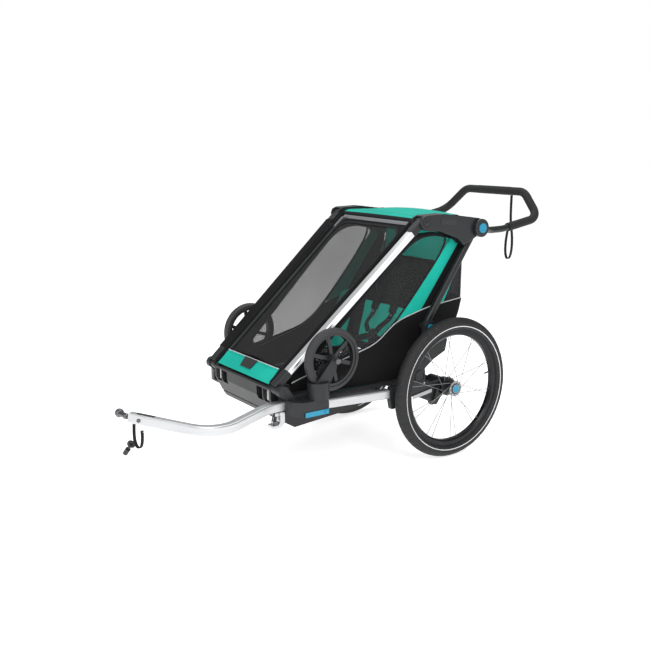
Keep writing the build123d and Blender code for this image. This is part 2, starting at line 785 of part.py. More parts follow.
WRIST_ROUTE = [
    (93, 484, 892.5),
    (92, 484, 838),
    (94, 484, 788),
    (102, 484, 752),
    (106, 484, 712),
    (104, 484, 676),
    (97, 484, 652),
    (87, 484, 643),
    (77, 484, 652),
    (72, 484, 676),
    (73, 484, 712),
    (79, 484, 748),
    (86, 484, 780),
]
HITCH_ROUTE = [
    (126, -1110, 282.5),
    (124, -1111, 254),
    (125, -1110, 228),
    (131, -1108, 213),
    (142, -1105, 207),
    (153, -1102, 213),
    (158, -1100, 228),
    (159, -1099, 252),
    (157, -1099, 266),
]


def cord(route, radius, name):
    radii = soft_radii(route)
    print(name, "radii", [round(r, 1) for r in radii])
    return tube_along(FilletPolyline(*route, radius=radii), radius)


# Stroller wheels
def post_bottom():
    return HOUSE_TOP - 42


def stroller_fork():
    half = STROLL_W / 2
    post = Pos(STROLL_X, FORK_Y, post_bottom()) * extrude(Circle(POST_R), CUP_TOP - post_bottom())
    cup = Pos(STROLL_X, FORK_Y, HOUSE_TOP + SLIP) * extrude(Circle(CUP_R), CUP_TOP - HOUSE_TOP - SLIP)
    body = post + cup
    y, z = STROLL_Y, STROLL_Z
    arm = [
        (FORK_Y - 24, HOUSE_TOP + 20),
        (FORK_Y - 24, CUP_TOP - 6),
        (y - 12, z + 4),
        (y - 4, z + 12),
        (y + 8, z + 10),
        (y + 12, z - 2),
        (y + 4, z - 30),
        (FORK_Y + 30, CUP_TOP - 12),
        (FORK_Y + 26, HOUSE_TOP + 20),
    ]
    inner = STROLL_X - half - FORK_GAP
    outer = STROLL_X + half + FORK_GAP
    body -= disc((y, z), STROLL_R + 4, inner, outer)
    body += plate(arm, inner - FORK_T, inner, 3) + soften(plate(arm, outer, outer + FORK_T, 3), Axis.X, -1, 1.5)
    return body + disc((y, z), STROLL_BOLT_R, inner - FORK_T - 2, outer + FORK_T + 2)


def stroller_spin(points):
    face = make_face(Plane.XZ * Polyline(*points, close=True))
    return Pos(STROLL_X, STROLL_Y, STROLL_Z) * Rot(0, 90, 0) * revolve(face, Axis.Z)


def stroller_wheel():
    inner = STROLL_R - STROLL_TREAD - STROLL_RIM
    outer = STROLL_R - STROLL_TREAD
    rim_ring = stroller_spin([(inner, -10), (outer, -10), (outer, 10), (inner, 10)])
    bore = STROLL_BOLT_R + RUN
    hub_half = STROLL_W / 2
    body = rim_ring + stroller_spin([(bore, -hub_half), (STROLL_HUB_R, -hub_half), (STROLL_HUB_R, hub_half), (bore, hub_half)])
    length = inner - STROLL_HUB_R + 4
    spoke = Pos(0, 0, STROLL_HUB_R - 2 + length / 2) * Box(8, 12, length)
    for k in range(STROLL_SPOKES):
        body += Pos(STROLL_X, STROLL_Y, STROLL_Z) * Rot(12 + k * 360 / STROLL_SPOKES, 0, 0) * spoke
    return body


def stroller_tyre():
    inner = STROLL_R - STROLL_TREAD
    half = STROLL_W / 2
    outline = [(inner, -half), (STROLL_R - 5, -half), (STROLL_R, -half + 6), (STROLL_R, half - 6), (STROLL_R - 5, half), (inner, half)]
    return stroller_spin(outline)


# Parking brake
def brake_bar():
    """The cross bar with a peg arm at each wheel and the foot pedal in the middle."""
    y, z = BRAKE_AT
    arm_in = BRACKET_OUT + 1
    arm_out = arm_in + 8
    peg = -RING_R - 3
    hub_z = AXLE_Z
    outline = [
        (peg, hub_z - 1),
        (peg, hub_z + 5),
        (peg - 10, hub_z + 7),
        (y - 10, z + 6),
        (y - 10, z - 6),
        (y, z - 10),
        (y + 10, z),
        (peg - 8, hub_z - 2.5),
    ]
    arm = plate(outline, arm_in, arm_out)
    cross = disc(BRAKE_AT, BRAKE_R, -arm_out, arm_out)
    pedal = block(-45, 45, y, y + 100, z - 5, z + 4)
    return cross + arm + other_side(arm) + pedal


# Hitch
def arm_path():
    start = (ARM_X, HOUSE_FRONT + ARM_DEPTH - SLIP, ARM_Z)
    return FilletPolyline(start, (ARM_X, -706, ARM_Z), (312, -934, 264), ARM_TIP, radius=[150, 125])


def arm_solid(size, corner):
    path = arm_path()
    section = Plane(origin=path @ 0, x_dir=(1, 0, 0), z_dir=path % 0) * RectangleRounded(size, size, corner)
    return sweep(section, path=path)


def tip_direction():
    return (Vector(*ARM_TIP) - Vector(312, -934, 264)).normalized()


def hitch_arm():
    return arm_solid(ARM_SIZE, 5) - arm_solid(ARM_SIZE - 2 * ARM_WALL, 2.5)


def hitch_nose():
    """The black plug in the arm's front end, with the stem's collar."""
    along = tip_direction()
    tip = Vector(*ARM_TIP)
    size = ARM_SIZE - 2 * ARM_WALL - 2.4
    flat = Plane(origin=tip - along * 60, x_dir=Vector(0, 0, 1).cross(along), z_dir=along)
    return extrude(flat * RectangleRounded(size, size, 2.5), 62)


def hitch_ball():
    """The ball and its stem, which leaves the nose plug from a round collar."""
    root = Vector(*ARM_TIP) + tip_direction() * (STEM_R + 3.5)
    collar = Pos(*root) * Rot(0, 0, 90) * Sphere(STEM_R + 1)
    ball = Pos(*BALL_AT) * Rot(0, 0, 90) * Sphere(BALL_R)
    return collar + rod(tuple(root), BALL_AT, STEM_R) + ball


def hitch_clamp():
    """The hook under the arm's rear end that closes on the housing's lower edge."""
    low = ARM_Z - ARM_SIZE / 2 - 0.3
    y = HOUSE_FRONT - 1
    outline = [(y, low), (y, low - 36), (y - 12, low - 50), (y - 44, low - 50), (y - 44, low - 41), (y - 24, low - 41), (y - 17, low - 32), (y - 17, low)]
    hook = plate(outline, ARM_X - 17, ARM_X + 17)
    wall = y - 16.5
    y, z = LATCH_AT
    for x in (ARM_X - 11, ARM_X + 8):
        hook += plate([(wall, z + 5), (y - 5, z + 5), (y - 5, z - 5), (wall, z - 5)], x, x + 3)
    return hook + disc(LATCH_AT, LATCH_PIN_R, ARM_X - 11, ARM_X + 11)


LATCH_AT = (HOUSE_FRONT - 26, ARM_Z - ARM_SIZE / 2 - 8)
LATCH_PIN_R = 2.0


def hitch_latch():
    """The release lever that hangs on the hook's cross pin."""
    y, z = LATCH_AT
    tail = plate([(y - 5, z), (y + 4, z - 3), (y - 1, z - 24), (y - 10, z - 24)], ARM_X - 7, ARM_X + 7)
    lever = disc(LATCH_AT, 5, ARM_X - 7, ARM_X + 7) + tail
    return lever - disc(LATCH_AT, LATCH_PIN_R + RUN, ARM_X - 7, ARM_X + 7)


def hitch_pin():
    """The safety strap's locking pin, with its disc and its grip."""
    head = Vector(109, -1114, 214)
    along = Vector(-0.62, -0.18, -0.76).normalized()
    shaft = rod(tuple(head - along * 6), tuple(head + along * 42), 4.0)
    stop = rod(tuple(head), tuple(head + along * 4), 13.0)
    grip = rod(tuple(head + along * 26), tuple(head + along * 50), 8.0)
    return shaft + stop + grip


os.makedirs("parts", exist_ok=True)

for name, build in {
    "tyre": tyre,
    "rim": rim,
    "spokes": spokes,
    "hub": hub,
    "hub_button": hub_button,
    "fold_button": fold_button,
    "slide_lock": slide_lock,
    "handle_button": handle_button,
    "stroller_fork": stroller_fork,
    "stroller_wheel": stroller_wheel,
    "stroller_tyre": stroller_tyre,
}.items():
    export_sides(name, build())

for name, build in {
    "lower_rails": lower_rail,
    "wheel_axles": wheel_axle,
    "rear_brackets": rear_bracket,
    "rear_pivot_pins": rear_pivot_pin,
    "front_housings": front_housing,
    "front_reflectors": front_reflector,
    "nose_pivot_pins": nose_pivot_pin,
    "suspension_links": suspension_link,
    "side_panels": side_panel,
    "side_windows": side_window,
    "front_tubes": front_tube,
    "tube_knuckles": knuckles,
    "crown_casings": crown_casing,
    "rear_tubes": rear_tube,
    "handlebar_hubs": handlebar_hub,
}.items():
    export(name, pair(build()))

export("crown_pivot_pins", pair(Compound([crown_pin(), handle_pin()])))

for name, build in {
    "axle_beam": axle_beam,
    "front_bumper": front_bumper,
    "floor_tub": floor_tub,
    "seat_base": seat_base,
    "seat_back": seat_back,
    "harness": harness,
    "rear_panel": rear_panel,
    "front_cover": front_cover,
    "front_window": front_window,
    "roof_panel": roof_panel,
    "roof_cross_tubes": roof_cross_tubes,
    "handlebar_tube": handlebar_tube,
    "handlebar_grip": handlebar_grip,
    "brake_bar": brake_bar,
    "hitch_arm": hitch_arm,
    "hitch_nose": hitch_nose,
    "hitch_ball": hitch_ball,
    "hitch_clamp": hitch_clamp,
    "hitch_latch": hitch_latch,
    "hitch_pin": hitch_pin,
}.items():
    export(name, build())

export("wrist_strap", cord(WRIST_ROUTE, STRAP_R, "wrist strap"))
export("hitch_strap", cord(HITCH_ROUTE, HITCH_STRAP_R, "hitch strap"))
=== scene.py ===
# %% [markdown]
# # A folding child bicycle trailer
# A fabric cabin hangs in an aluminium frame between two spoked wheels. A square arm
# reaches forward to the bicycle, and two small wheels ride stowed on the front corners
# for the day it becomes a stroller.
# The hard parts come in as a finished frame, in metres. This lesson gives them their
# surfaces, and makes the soft parts, the tyres and the small fittings around them.

# %% Load the frame and keep its size
import bpy
import bmesh
import math
from mathutils import Matrix, Vector


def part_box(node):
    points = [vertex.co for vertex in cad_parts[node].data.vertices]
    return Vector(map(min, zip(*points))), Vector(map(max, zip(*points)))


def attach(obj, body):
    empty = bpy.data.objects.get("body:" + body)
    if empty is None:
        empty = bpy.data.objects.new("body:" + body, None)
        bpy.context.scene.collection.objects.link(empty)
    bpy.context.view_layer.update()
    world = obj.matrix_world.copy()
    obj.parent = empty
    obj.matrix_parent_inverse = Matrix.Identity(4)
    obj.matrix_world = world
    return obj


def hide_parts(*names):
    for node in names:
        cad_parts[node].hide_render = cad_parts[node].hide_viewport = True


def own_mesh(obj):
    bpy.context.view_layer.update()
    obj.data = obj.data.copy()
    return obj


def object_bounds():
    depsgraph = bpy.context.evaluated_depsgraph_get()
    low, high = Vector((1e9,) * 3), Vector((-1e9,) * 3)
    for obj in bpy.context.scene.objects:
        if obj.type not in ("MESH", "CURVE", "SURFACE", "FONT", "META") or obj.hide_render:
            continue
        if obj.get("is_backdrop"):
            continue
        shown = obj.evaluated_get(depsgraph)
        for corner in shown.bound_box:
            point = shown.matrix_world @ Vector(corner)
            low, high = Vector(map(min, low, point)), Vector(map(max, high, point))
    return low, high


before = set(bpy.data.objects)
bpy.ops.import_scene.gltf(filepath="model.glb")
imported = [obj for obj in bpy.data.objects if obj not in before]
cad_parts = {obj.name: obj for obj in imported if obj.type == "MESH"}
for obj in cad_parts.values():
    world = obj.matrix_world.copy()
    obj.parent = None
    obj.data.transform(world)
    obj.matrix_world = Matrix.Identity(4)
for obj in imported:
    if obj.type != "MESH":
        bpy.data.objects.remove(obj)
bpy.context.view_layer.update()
SIDES = {"left": 1, "right": -1}
low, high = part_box("wheel_axles")
AXLE_Y = (low.y + high.y) / 2
AXLE_Z = (low.z + high.z) / 2


def at(x, y, z):
    """A place laid out from the wheel axle in millimetres, as a point of the frame."""
    return Vector((x / 1000, y / 1000 + AXLE_Y, z / 1000))


print("axle over y =", round(AXLE_Y, 4), "at height", round(AXLE_Z, 4))

# %% [markdown]
# ## Camera, floor and light
# The object is looked at from its front left corner, a little from above, through a
# slightly long lens, as a shop picture would be. A plain pale floor and a bright even
# world give soft shadows, and three large area lights shape the dark parts, which would
# otherwise sink into one black patch.

# %% Camera
camera = bpy.data.objects.new("camera", bpy.data.cameras.new("camera"))
bpy.context.scene.collection.objects.link(camera)
camera.location = (2.4637, -1.73515, 1.1014)
aim = Vector((0.0282, -0.03075, 0.4696)) - camera.location
camera.rotation_euler = aim.to_track_quat("-Z", "Y").to_euler()
camera.data.lens = 48.2
camera.data.sensor_width = 36
bpy.context.scene.camera = camera
print("camera distance", round(aim.length, 3))

# %% Node helpers
def new_material(name):
    material = bpy.data.materials.new(name)
    material.use_nodes = True
    tree = material.node_tree
    return material, tree.nodes["Principled BSDF"], tree


def add(tree, kind, **inputs):
    """A node with some of its sockets set, by name."""
    node = tree.nodes.new(kind)
    for key, value in inputs.items():
        node.inputs[key.replace("_", " ")].default_value = value
    return node


def blend_of(tree, mask, dark, light):
    """One colour that moves between two by a mask."""
    mix = tree.nodes.new("ShaderNodeMix")
    mix.data_type = "RGBA"
    mix.inputs[6].default_value = (*dark, 1)
    mix.inputs[7].default_value = (*light, 1)
    tree.links.new(mask, mix.inputs[0])
    return mix.outputs[2]


def spread_of(tree, value, least, most):
    """A mask from 0 to 1 stretched between two numbers."""
    ramp = tree.nodes.new("ShaderNodeMapRange")
    ramp.inputs["To Min"].default_value = least
    ramp.inputs["To Max"].default_value = most
    tree.links.new(value, ramp.inputs["Value"])
    return ramp.outputs["Result"]


# %% Floor, world and lights
bpy.ops.object.select_all(action="DESELECT")
bpy.ops.mesh.primitive_plane_add(size=60, location=(0, 0, -0.0005))
floor = bpy.context.object
floor.name = "studio_floor"
material, surface, tree = new_material("studio_floor")
surface.inputs["Base Color"].default_value = (0.93, 0.93, 0.93, 1)
surface.inputs["Roughness"].default_value = 0.75
surface.inputs["Emission Color"].default_value = (1, 1, 1, 1)
surface.inputs["Emission Strength"].default_value = 0.68
floor.data.materials.append(material)
floor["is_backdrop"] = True
world = bpy.data.worlds.new("studio")
world.use_nodes = True
sky = world.node_tree
backdrop = sky.nodes["Background"]
backdrop.inputs["Color"].default_value = (1, 1, 1, 1)
path = sky.nodes.new("ShaderNodeLightPath")
glow = sky.nodes.new("ShaderNodeMapRange")
glow.inputs["To Min"].default_value = 0.38
glow.inputs["To Max"].default_value = 1.0
sky.links.new(path.outputs["Is Camera Ray"], glow.inputs["Value"])
sky.links.new(glow.outputs["Result"], backdrop.inputs["Strength"])
bpy.context.scene.world = world
bpy.context.scene.view_settings.view_transform = "Standard"
for name, place, size, power in (
    ("key", (2.6, -1.0, 2.6), 1.8, 60),
    ("front", (0.4, -3.2, 1.8), 2.0, 30),
    ("top", (-0.6, 0.6, 3.0), 2.4, 45),
):
    lamp = bpy.data.objects.new(name, bpy.data.lights.new(name, "AREA"))
    bpy.context.scene.collection.objects.link(lamp)
    lamp.location = place
    lamp.rotation_euler = (Vector((0, 0, 0.4)) - lamp.location).to_track_quat("-Z", "Y").to_euler()
    lamp.data.size = size
    lamp.data.energy = power
print("three soft lights and a pale floor")

# %% [markdown]
# ## The two cords
# A wrist strap hangs in a long narrow loop from the push bar, and a safety strap hangs
# from the nose of the hitch arm and comes back up to it. Each follows one smooth curve
# through a few given points. Both are flat webbing on the real object. A short
# webbing section swept along a path keeps its width in one direction, so the strap is a
# mesh ribbon that follows points read from the curve.

# %% Routes and the smooth line through them
WRIST_ROUTE = [
    (93, 484, 892.5),
    (92, 484, 838),
    (94, 484, 788),
    (102, 484, 752),
    (106, 484, 712),
    (104, 484, 676),
    (97, 484, 652),
    (87, 484, 643),
    (77, 484, 652),
    (72, 484, 676),
    (73, 484, 712),
    (79, 484, 748),
    (86, 484, 780),
]
HITCH_ROUTE = [
    (126, -1110, 282.5),
    (124, -1111, 254),
    (125, -1110, 228),
    (131, -1108, 213),
    (142, -1105, 207),
    (153, -1102, 213),
    (158, -1100, 228),
    (159, -1099, 252),
    (157, -1099, 266),
]


def cord_curve(name, route, radius):
    """A round cord on one open NURBS line."""
    curve = bpy.data.curves.new(name, "CURVE")
    curve.dimensions = "3D"
    curve.bevel_depth = radius
    curve.bevel_resolution = 4
    curve.use_fill_caps = True
    line = curve.splines.new("NURBS")
    line.points.add(len(route) - 1)
    for point, place in zip(line.points, route):
        point.co = (*at(*place), 1)
    line.order_u = 3
    line.use_endpoint_u = True
    line.resolution_u = 12
    cord = bpy.data.objects.new(name, curve)
    bpy.context.scene.collection.objects.link(cord)
    return cord


def path_length(points):
    return sum((b - a).length for a, b in zip(points, points[1:]))


def line_of(cord):
    """Points along a cord's own line."""
    bare = cord.copy()
    bare.data = cord.data.copy()
    bare.data.bevel_depth = 0
    bpy.context.scene.collection.objects.link(bare)
    shape = bare.evaluated_get(bpy.context.evaluated_depsgraph_get())
    mesh = bpy.data.meshes.new_from_object(shape)
    points = [vertex.co.copy() for vertex in mesh.vertices]
    bpy.data.objects.remove(bare)
    return points


wrist_strap = cord_curve("wrist_strap_webbing", WRIST_ROUTE, 0.003)
hitch_strap = cord_curve("hitch_strap_webbing", HITCH_ROUTE, 0.0025)
wrist_line = line_of(wrist_strap)
hitch_line = line_of(hitch_strap)
print(
    "wrist strap",
    round(path_length(wrist_line), 3),
    "m, hitch strap",
    round(path_length(hitch_line), 3),
    "m",
)

# %% [markdown]
# ## Shared effects
# Small surface effects are made once as node groups, and every finish places them with
# its own values. They only put out masks and heights. The shader with its constant
# values stays in each material.

# %% Grain, mottling and scuffs of moulded and cast surfaces
def new_group(name, inputs, outputs):
    group = bpy.data.node_groups.new(name, "ShaderNodeTree")
    for label, value in inputs.items():
        socket = group.interface.new_socket(label, in_out="INPUT", socket_type="NodeSocketFloat")
        socket.default_value = value
    for label in outputs:
        group.interface.new_socket(label, in_out="OUTPUT", socket_type="NodeSocketFloat")
    return group, group.nodes.new("NodeGroupInput"), group.nodes.new("NodeGroupOutput")


def build_grain():
    """Fine pits for the bump, and slow mottling for colour and gloss."""
    group, given, made = new_group(
        "grain", {"Pit Scale": 900.0, "Mottle Scale": 14.0}, ["Height", "Mottle", "Scuff"]
    )
    place = group.nodes.new("ShaderNodeTexCoord")
    for label, scale, detail in (("Height", "Pit Scale", 3), ("Mottle", "Mottle Scale", 5)):
        noise = add(group, "ShaderNodeTexNoise", Detail=detail, Roughness=0.6)
        group.links.new(place.outputs["Object"], noise.inputs["Vector"])
        group.links.new(given.outputs[scale], noise.inputs["Scale"])
        group.links.new(noise.outputs["Fac"], made.inputs[label])
    scratch = add(group, "ShaderNodeTexNoise", Scale=45.0, Detail=8.0, Roughness=0.7, Distortion=1.4)
    group.links.new(place.outputs["Object"], scratch.inputs["Vector"])
    ramp = group.nodes.new("ShaderNodeMapRange")
    ramp.inputs["From Min"].default_value = 0.56
    ramp.inputs["From Max"].default_value = 0.72
    group.links.new(scratch.outputs["Fac"], ramp.inputs["Value"])
    group.links.new(ramp.outputs["Result"], made.inputs["Scuff"])
    return group


GRAIN = build_grain()
print("group", GRAIN.name)


# %% Weave of cloth and webbing
def build_weave():
    """Threads in three directions, so that any flat of cloth shows two of them crossing."""
    group, given, made = new_group("weave", {"Threads": 700.0}, ["Height", "Thread", "Fade"])
    place = group.nodes.new("ShaderNodeTexCoord")
    total = None
    for axis in ("X", "Y", "Z"):
        wave = add(group, "ShaderNodeTexWave", Distortion=0.4, Detail=1.0)
        wave.wave_type = "BANDS"
        wave.bands_direction = axis
        group.links.new(place.outputs["Object"], wave.inputs["Vector"])
        group.links.new(given.outputs["Threads"], wave.inputs["Scale"])
        if total is None:
            total = wave.outputs["Fac"]
            continue
        sum_ = group.nodes.new("ShaderNodeMath")
        sum_.operation = "ADD"
        group.links.new(total, sum_.inputs[0])
        group.links.new(wave.outputs["Fac"], sum_.inputs[1])
        total = sum_.outputs[0]
    third = group.nodes.new("ShaderNodeMath")
    third.operation = "MULTIPLY"
    third.inputs[1].default_value = 1 / 3
    group.links.new(total, third.inputs[0])
    group.links.new(third.outputs[0], made.inputs["Height"])
    for label, scale in (("Thread", 260.0), ("Fade", 7.0)):
        noise = add(group, "ShaderNodeTexNoise", Scale=scale, Detail=4.0)
        group.links.new(place.outputs["Object"], noise.inputs["Vector"])
        group.links.new(noise.outputs["Fac"], made.inputs[label])
    return group


WEAVE = build_weave()
print("group", WEAVE.name)


# %% Die lines of drawn and extruded metal
def build_die_lines():
    """Fine streaks along one direction, from noise squeezed across it."""
    group = bpy.data.node_groups.new("die_lines", "ShaderNodeTree")
    group.interface.new_socket("Squeeze", in_out="INPUT", socket_type="NodeSocketVector")
    for label in ("Height", "Streak"):
        group.interface.new_socket(label, in_out="OUTPUT", socket_type="NodeSocketFloat")
    given, made = group.nodes.new("NodeGroupInput"), group.nodes.new("NodeGroupOutput")
    place = group.nodes.new("ShaderNodeTexCoord")
    squeeze = group.nodes.new("ShaderNodeVectorMath")
    squeeze.operation = "MULTIPLY"
    group.links.new(place.outputs["Object"], squeeze.inputs[0])
    group.links.new(given.outputs["Squeeze"], squeeze.inputs[1])
    noise = add(group, "ShaderNodeTexNoise", Scale=1.0, Detail=3.0)
    group.links.new(squeeze.outputs[0], noise.inputs["Vector"])
    group.links.new(noise.outputs["Fac"], made.inputs["Height"])
    wide = add(group, "ShaderNodeTexNoise", Scale=0.12, Detail=2.0)
    group.links.new(squeeze.outputs[0], wide.inputs["Vector"])
    group.links.new(wide.outputs["Fac"], made.inputs["Streak"])
    return group


DIE_LINES = build_die_lines()
print("group", DIE_LINES.name)

# %% [markdown]
# ## Finishes
# Each finish is one material: a base colour that drifts a little, a roughness that the
# same mask disturbs, and a bump at the real scale of the surface. Black plastic,
# powder coat, rubber and foam are all nearly black, so it is their gloss and grain that
# tell them apart.

# %% Moulded and coated finishes
def moulded(
    name, dark, light, rough, pits=900.0, bump=0.12, depth=0.0004, metal=0.0, coat=0.0, scuff=0.25
):
    """Plastic, rubber, powder coat or cast metal."""
    material, surface, tree = new_material(name)
    grain = tree.nodes.new("ShaderNodeGroup")
    grain.node_tree = GRAIN
    grain.inputs["Pit Scale"].default_value = pits
    colour = blend_of(tree, grain.outputs["Mottle"], dark, light)
    tree.links.new(colour, surface.inputs["Base Color"])
    mixed = tree.nodes.new("ShaderNodeMath")
    mixed.operation = "MULTIPLY_ADD"
    mixed.inputs[1].default_value = scuff
    tree.links.new(grain.outputs["Scuff"], mixed.inputs[0])
    tree.links.new(grain.outputs["Mottle"], mixed.inputs[2])
    tree.links.new(
        spread_of(tree, mixed.outputs[0], rough - 0.1, rough + 0.12), surface.inputs["Roughness"]
    )
    relief = add(tree, "ShaderNodeBump", Strength=bump, Distance=depth)
    tree.links.new(grain.outputs["Height"], relief.inputs["Height"])
    tree.links.new(relief.outputs["Normal"], surface.inputs["Normal"])
    surface.inputs["Metallic"].default_value = metal
    surface.inputs["Specular IOR Level"].default_value = 0.34
    surface.inputs["Coat Weight"].default_value = coat
    surface.inputs["Coat Roughness"].default_value = 0.2
    return material


BLACK_PLASTIC = moulded("black_moulding", (0.011, 0.012, 0.013), (0.026, 0.027, 0.029), 0.42, 1100, 0.2)
CASING_BLACK = moulded(
    "satin_casing", (0.010, 0.011, 0.012), (0.020, 0.021, 0.023), 0.32, 1500, 0.1, coat=0.15
)
POWDER_COAT = moulded("powder_coat", (0.009, 0.010, 0.011), (0.019, 0.020, 0.022), 0.36, 700, 0.15)
RIM_BLACK = moulded(
    "anodised_rim", (0.010, 0.010, 0.011), (0.030, 0.031, 0.034), 0.3, 500, 0.08, metal=0.6
)
TYRE_RUBBER = moulded(
    "tyre_rubber", (0.010, 0.010, 0.011), (0.024, 0.024, 0.025), 0.62, 420, 0.35, 0.0006, scuff=0.35
)
GREY_RUBBER = moulded(
    "small_tyre_rubber", (0.022, 0.022, 0.024), (0.046, 0.046, 0.049), 0.55, 420, 0.35, 0.0006
)
GRIP_FOAM = moulded("grip_foam", (0.012, 0.012, 0.012), (0.022, 0.022, 0.023), 0.78, 1300, 0.5, 0.0007)
BLUE_PLASTIC = moulded("blue_touch_point", (0.012, 0.22, 0.36), (0.03, 0.31, 0.48), 0.34, 1300, 0.08)
TUB_PLASTIC = moulded("formed_tub", (0.018, 0.018, 0.020), (0.034, 0.034, 0.037), 0.5, 300, 0.3, 0.0008)
STEEL = moulded("zinc_steel", (0.30, 0.30, 0.31), (0.52, 0.52, 0.53), 0.32, 300, 0.1, metal=1.0)
DARK_STEEL = moulded("dark_steel", (0.10, 0.10, 0.105), (0.2, 0.2, 0.21), 0.38, 300, 0.1, metal=1.0)
WHITE_LINE = moulded("reflective_line", (0.62, 0.63, 0.64), (0.82, 0.83, 0.84), 0.4, 900, 0.1)
BADGE_GREY = moulded(
    "blank_badge", (0.014, 0.014, 0.015), (0.022, 0.022, 0.024), 0.3, 1500, 0.1, coat=0.3
)
print("moulded finishes ready")


# %% Anodised extrusions
def extruded(name, dark, light, squeeze, rough=0.3):
    """Silver anodised metal with streaks left by the die."""
    material, surface, tree = new_material(name)
    lines = tree.nodes.new("ShaderNodeGroup")
    lines.node_tree = DIE_LINES
    lines.inputs["Squeeze"].default_value = squeeze
    tree.links.new(blend_of(tree, lines.outputs["Streak"], dark, light), surface.inputs["Base Color"])
    tree.links.new(
        spread_of(tree, lines.outputs["Height"], rough - 0.06, rough + 0.1), surface.inputs["Roughness"]
    )
    relief = add(tree, "ShaderNodeBump", Strength=0.08, Distance=0.0003)
    tree.links.new(lines.outputs["Height"], relief.inputs["Height"])
    tree.links.new(relief.outputs["Normal"], surface.inputs["Normal"])
    surface.inputs["Metallic"].default_value = 0.85
    return material


# One anodised silver in three copies with different base colours: painted light makes the sloping front
# tubes, which face the lights, far lighter than the low rails, the clamp and the arm, which carry
# painted shade.
SILVER_SLOPE_PAINTED_LIGHT = extruded("silver_sloping_tube_painted_light", (0.74, 0.75, 0.76), (0.93, 0.94, 0.95), (900, 30, 40))
SILVER_RAIL = extruded("silver_rail", (0.44, 0.45, 0.46), (0.60, 0.61, 0.62), (900, 8, 900))
SILVER_ARM = extruded("silver_arm", (0.48, 0.49, 0.50), (0.66, 0.67, 0.68), (20, 20, 900), 0.34)
SPOKE_WIRE = extruded("spoke_wire", (0.20, 0.20, 0.21), (0.36, 0.36, 0.37), (300, 300, 300), 0.35)
RING_METAL = extruded("slotted_ring", (0.26, 0.26, 0.27), (0.44, 0.44, 0.45), (500, 500, 500), 0.36)
print("metal finishes ready")


# %% Cloth, webbing, mesh and film
def woven(name, dark, light, rough=0.75, threads=700.0, bump=0.25, shine=0.15, alpha=None, through=0.0):
    """Coated cloth: threads in the bump, slow fading, and a painted glow (emission in the cloth's own
    colour) that stands in for day light coming through.
    """
    material, surface, tree = new_material(name)
    weave = tree.nodes.new("ShaderNodeGroup")
    weave.node_tree = WEAVE
    weave.inputs["Threads"].default_value = threads
    both = tree.nodes.new("ShaderNodeMath")
    both.operation = "MULTIPLY"
    tree.links.new(weave.outputs["Fade"], both.inputs[0])
    tree.links.new(spread_of(tree, weave.outputs["Thread"], 0.6, 1.5), both.inputs[1])
    colour = blend_of(tree, both.outputs[0], dark, light)
    tree.links.new(colour, surface.inputs["Base Color"])
    # The cloth's own colour also glows as emission: painted light, used only on the green lining.
    tree.links.new(colour, surface.inputs["Emission Color"])
    surface.inputs["Emission Strength"].default_value = through
    tree.links.new(
        spread_of(tree, weave.outputs["Fade"], rough - 0.08, rough + 0.1), surface.inputs["Roughness"]
    )
    relief = add(tree, "ShaderNodeBump", Strength=bump, Distance=0.0005)
    tree.links.new(weave.outputs["Height"], relief.inputs["Height"])
    tree.links.new(relief.outputs["Normal"], surface.inputs["Normal"])
    surface.inputs["Specular IOR Level"].default_value = shine
    if alpha is not None:
        tree.links.new(spread_of(tree, weave.outputs["Thread"], *alpha), surface.inputs["Alpha"])
    return material


GREEN_CLOTH = woven("green_cloth", (0.004, 0.30, 0.23), (0.012, 0.50, 0.40), 0.62)
# The lining glows at 0.35 in its own colour: painted light for the light inside the cabin.
GREEN_LINING = woven("green_lining", (0.003, 0.30, 0.23), (0.010, 0.48, 0.38), 0.8, through=0.35)
BLACK_CLOTH = woven("black_cloth", (0.003, 0.003, 0.0034), (0.008, 0.008, 0.0086), 0.7)
SEAT_CLOTH = woven("seat_cloth", (0.004, 0.004, 0.0045), (0.010, 0.010, 0.011), 0.85, 900, 0.15)
WEBBING = woven("webbing", (0.008, 0.008, 0.009), (0.022, 0.022, 0.024), 0.7, 1300, 0.6)
PIPING = woven("reflective_piping", (0.40, 0.41, 0.42), (0.62, 0.63, 0.64), 0.45, 900, 0.3)
TRIM_GREY = woven("grey_trim", (0.10, 0.105, 0.11), (0.22, 0.225, 0.23), 0.4, 900, 0.3)
ZIP_TAPE = woven("zip_tape", (0.018, 0.024, 0.024), (0.05, 0.062, 0.06), 0.55, 900, 0.5)
THREAD_BLACK = woven("black_thread", (0.015, 0.015, 0.016), (0.03, 0.03, 0.032), 0.6, 1500, 0.6)
THREAD_GREEN = woven("green_thread", (0.004, 0.22, 0.17), (0.01, 0.36, 0.28), 0.6, 1500, 0.6)
MESH_NET = woven(
    "open_mesh", (0.012, 0.012, 0.013), (0.05, 0.05, 0.053), 0.8, 500, 0.8, alpha=(0.45, 0.95)
)
print("cloth finishes ready")


# %% Clear film
def film(name, tint, cover, gloss):
    """Flexible window film: mostly see-through, a little cloudy, with a soft gloss."""
    material, surface, tree = new_material(name)
    grain = tree.nodes.new("ShaderNodeGroup")
    grain.node_tree = GRAIN
    grain.inputs["Mottle Scale"].default_value = 5.0
    tree.links.new(
        blend_of(tree, grain.outputs["Mottle"], tint[0], tint[1]), surface.inputs["Base Color"]
    )
    tree.links.new(
        spread_of(tree, grain.outputs["Mottle"], cover - 0.04, cover + 0.04), surface.inputs["Alpha"]
    )
    tree.links.new(
        spread_of(tree, grain.outputs["Scuff"], gloss, gloss + 0.12), surface.inputs["Roughness"]
    )
    relief = add(tree, "ShaderNodeBump", Strength=0.15, Distance=0.002)
    tree.links.new(grain.outputs["Mottle"], relief.inputs["Height"])
    tree.links.new(relief.outputs["Normal"], surface.inputs["Normal"])
    return material


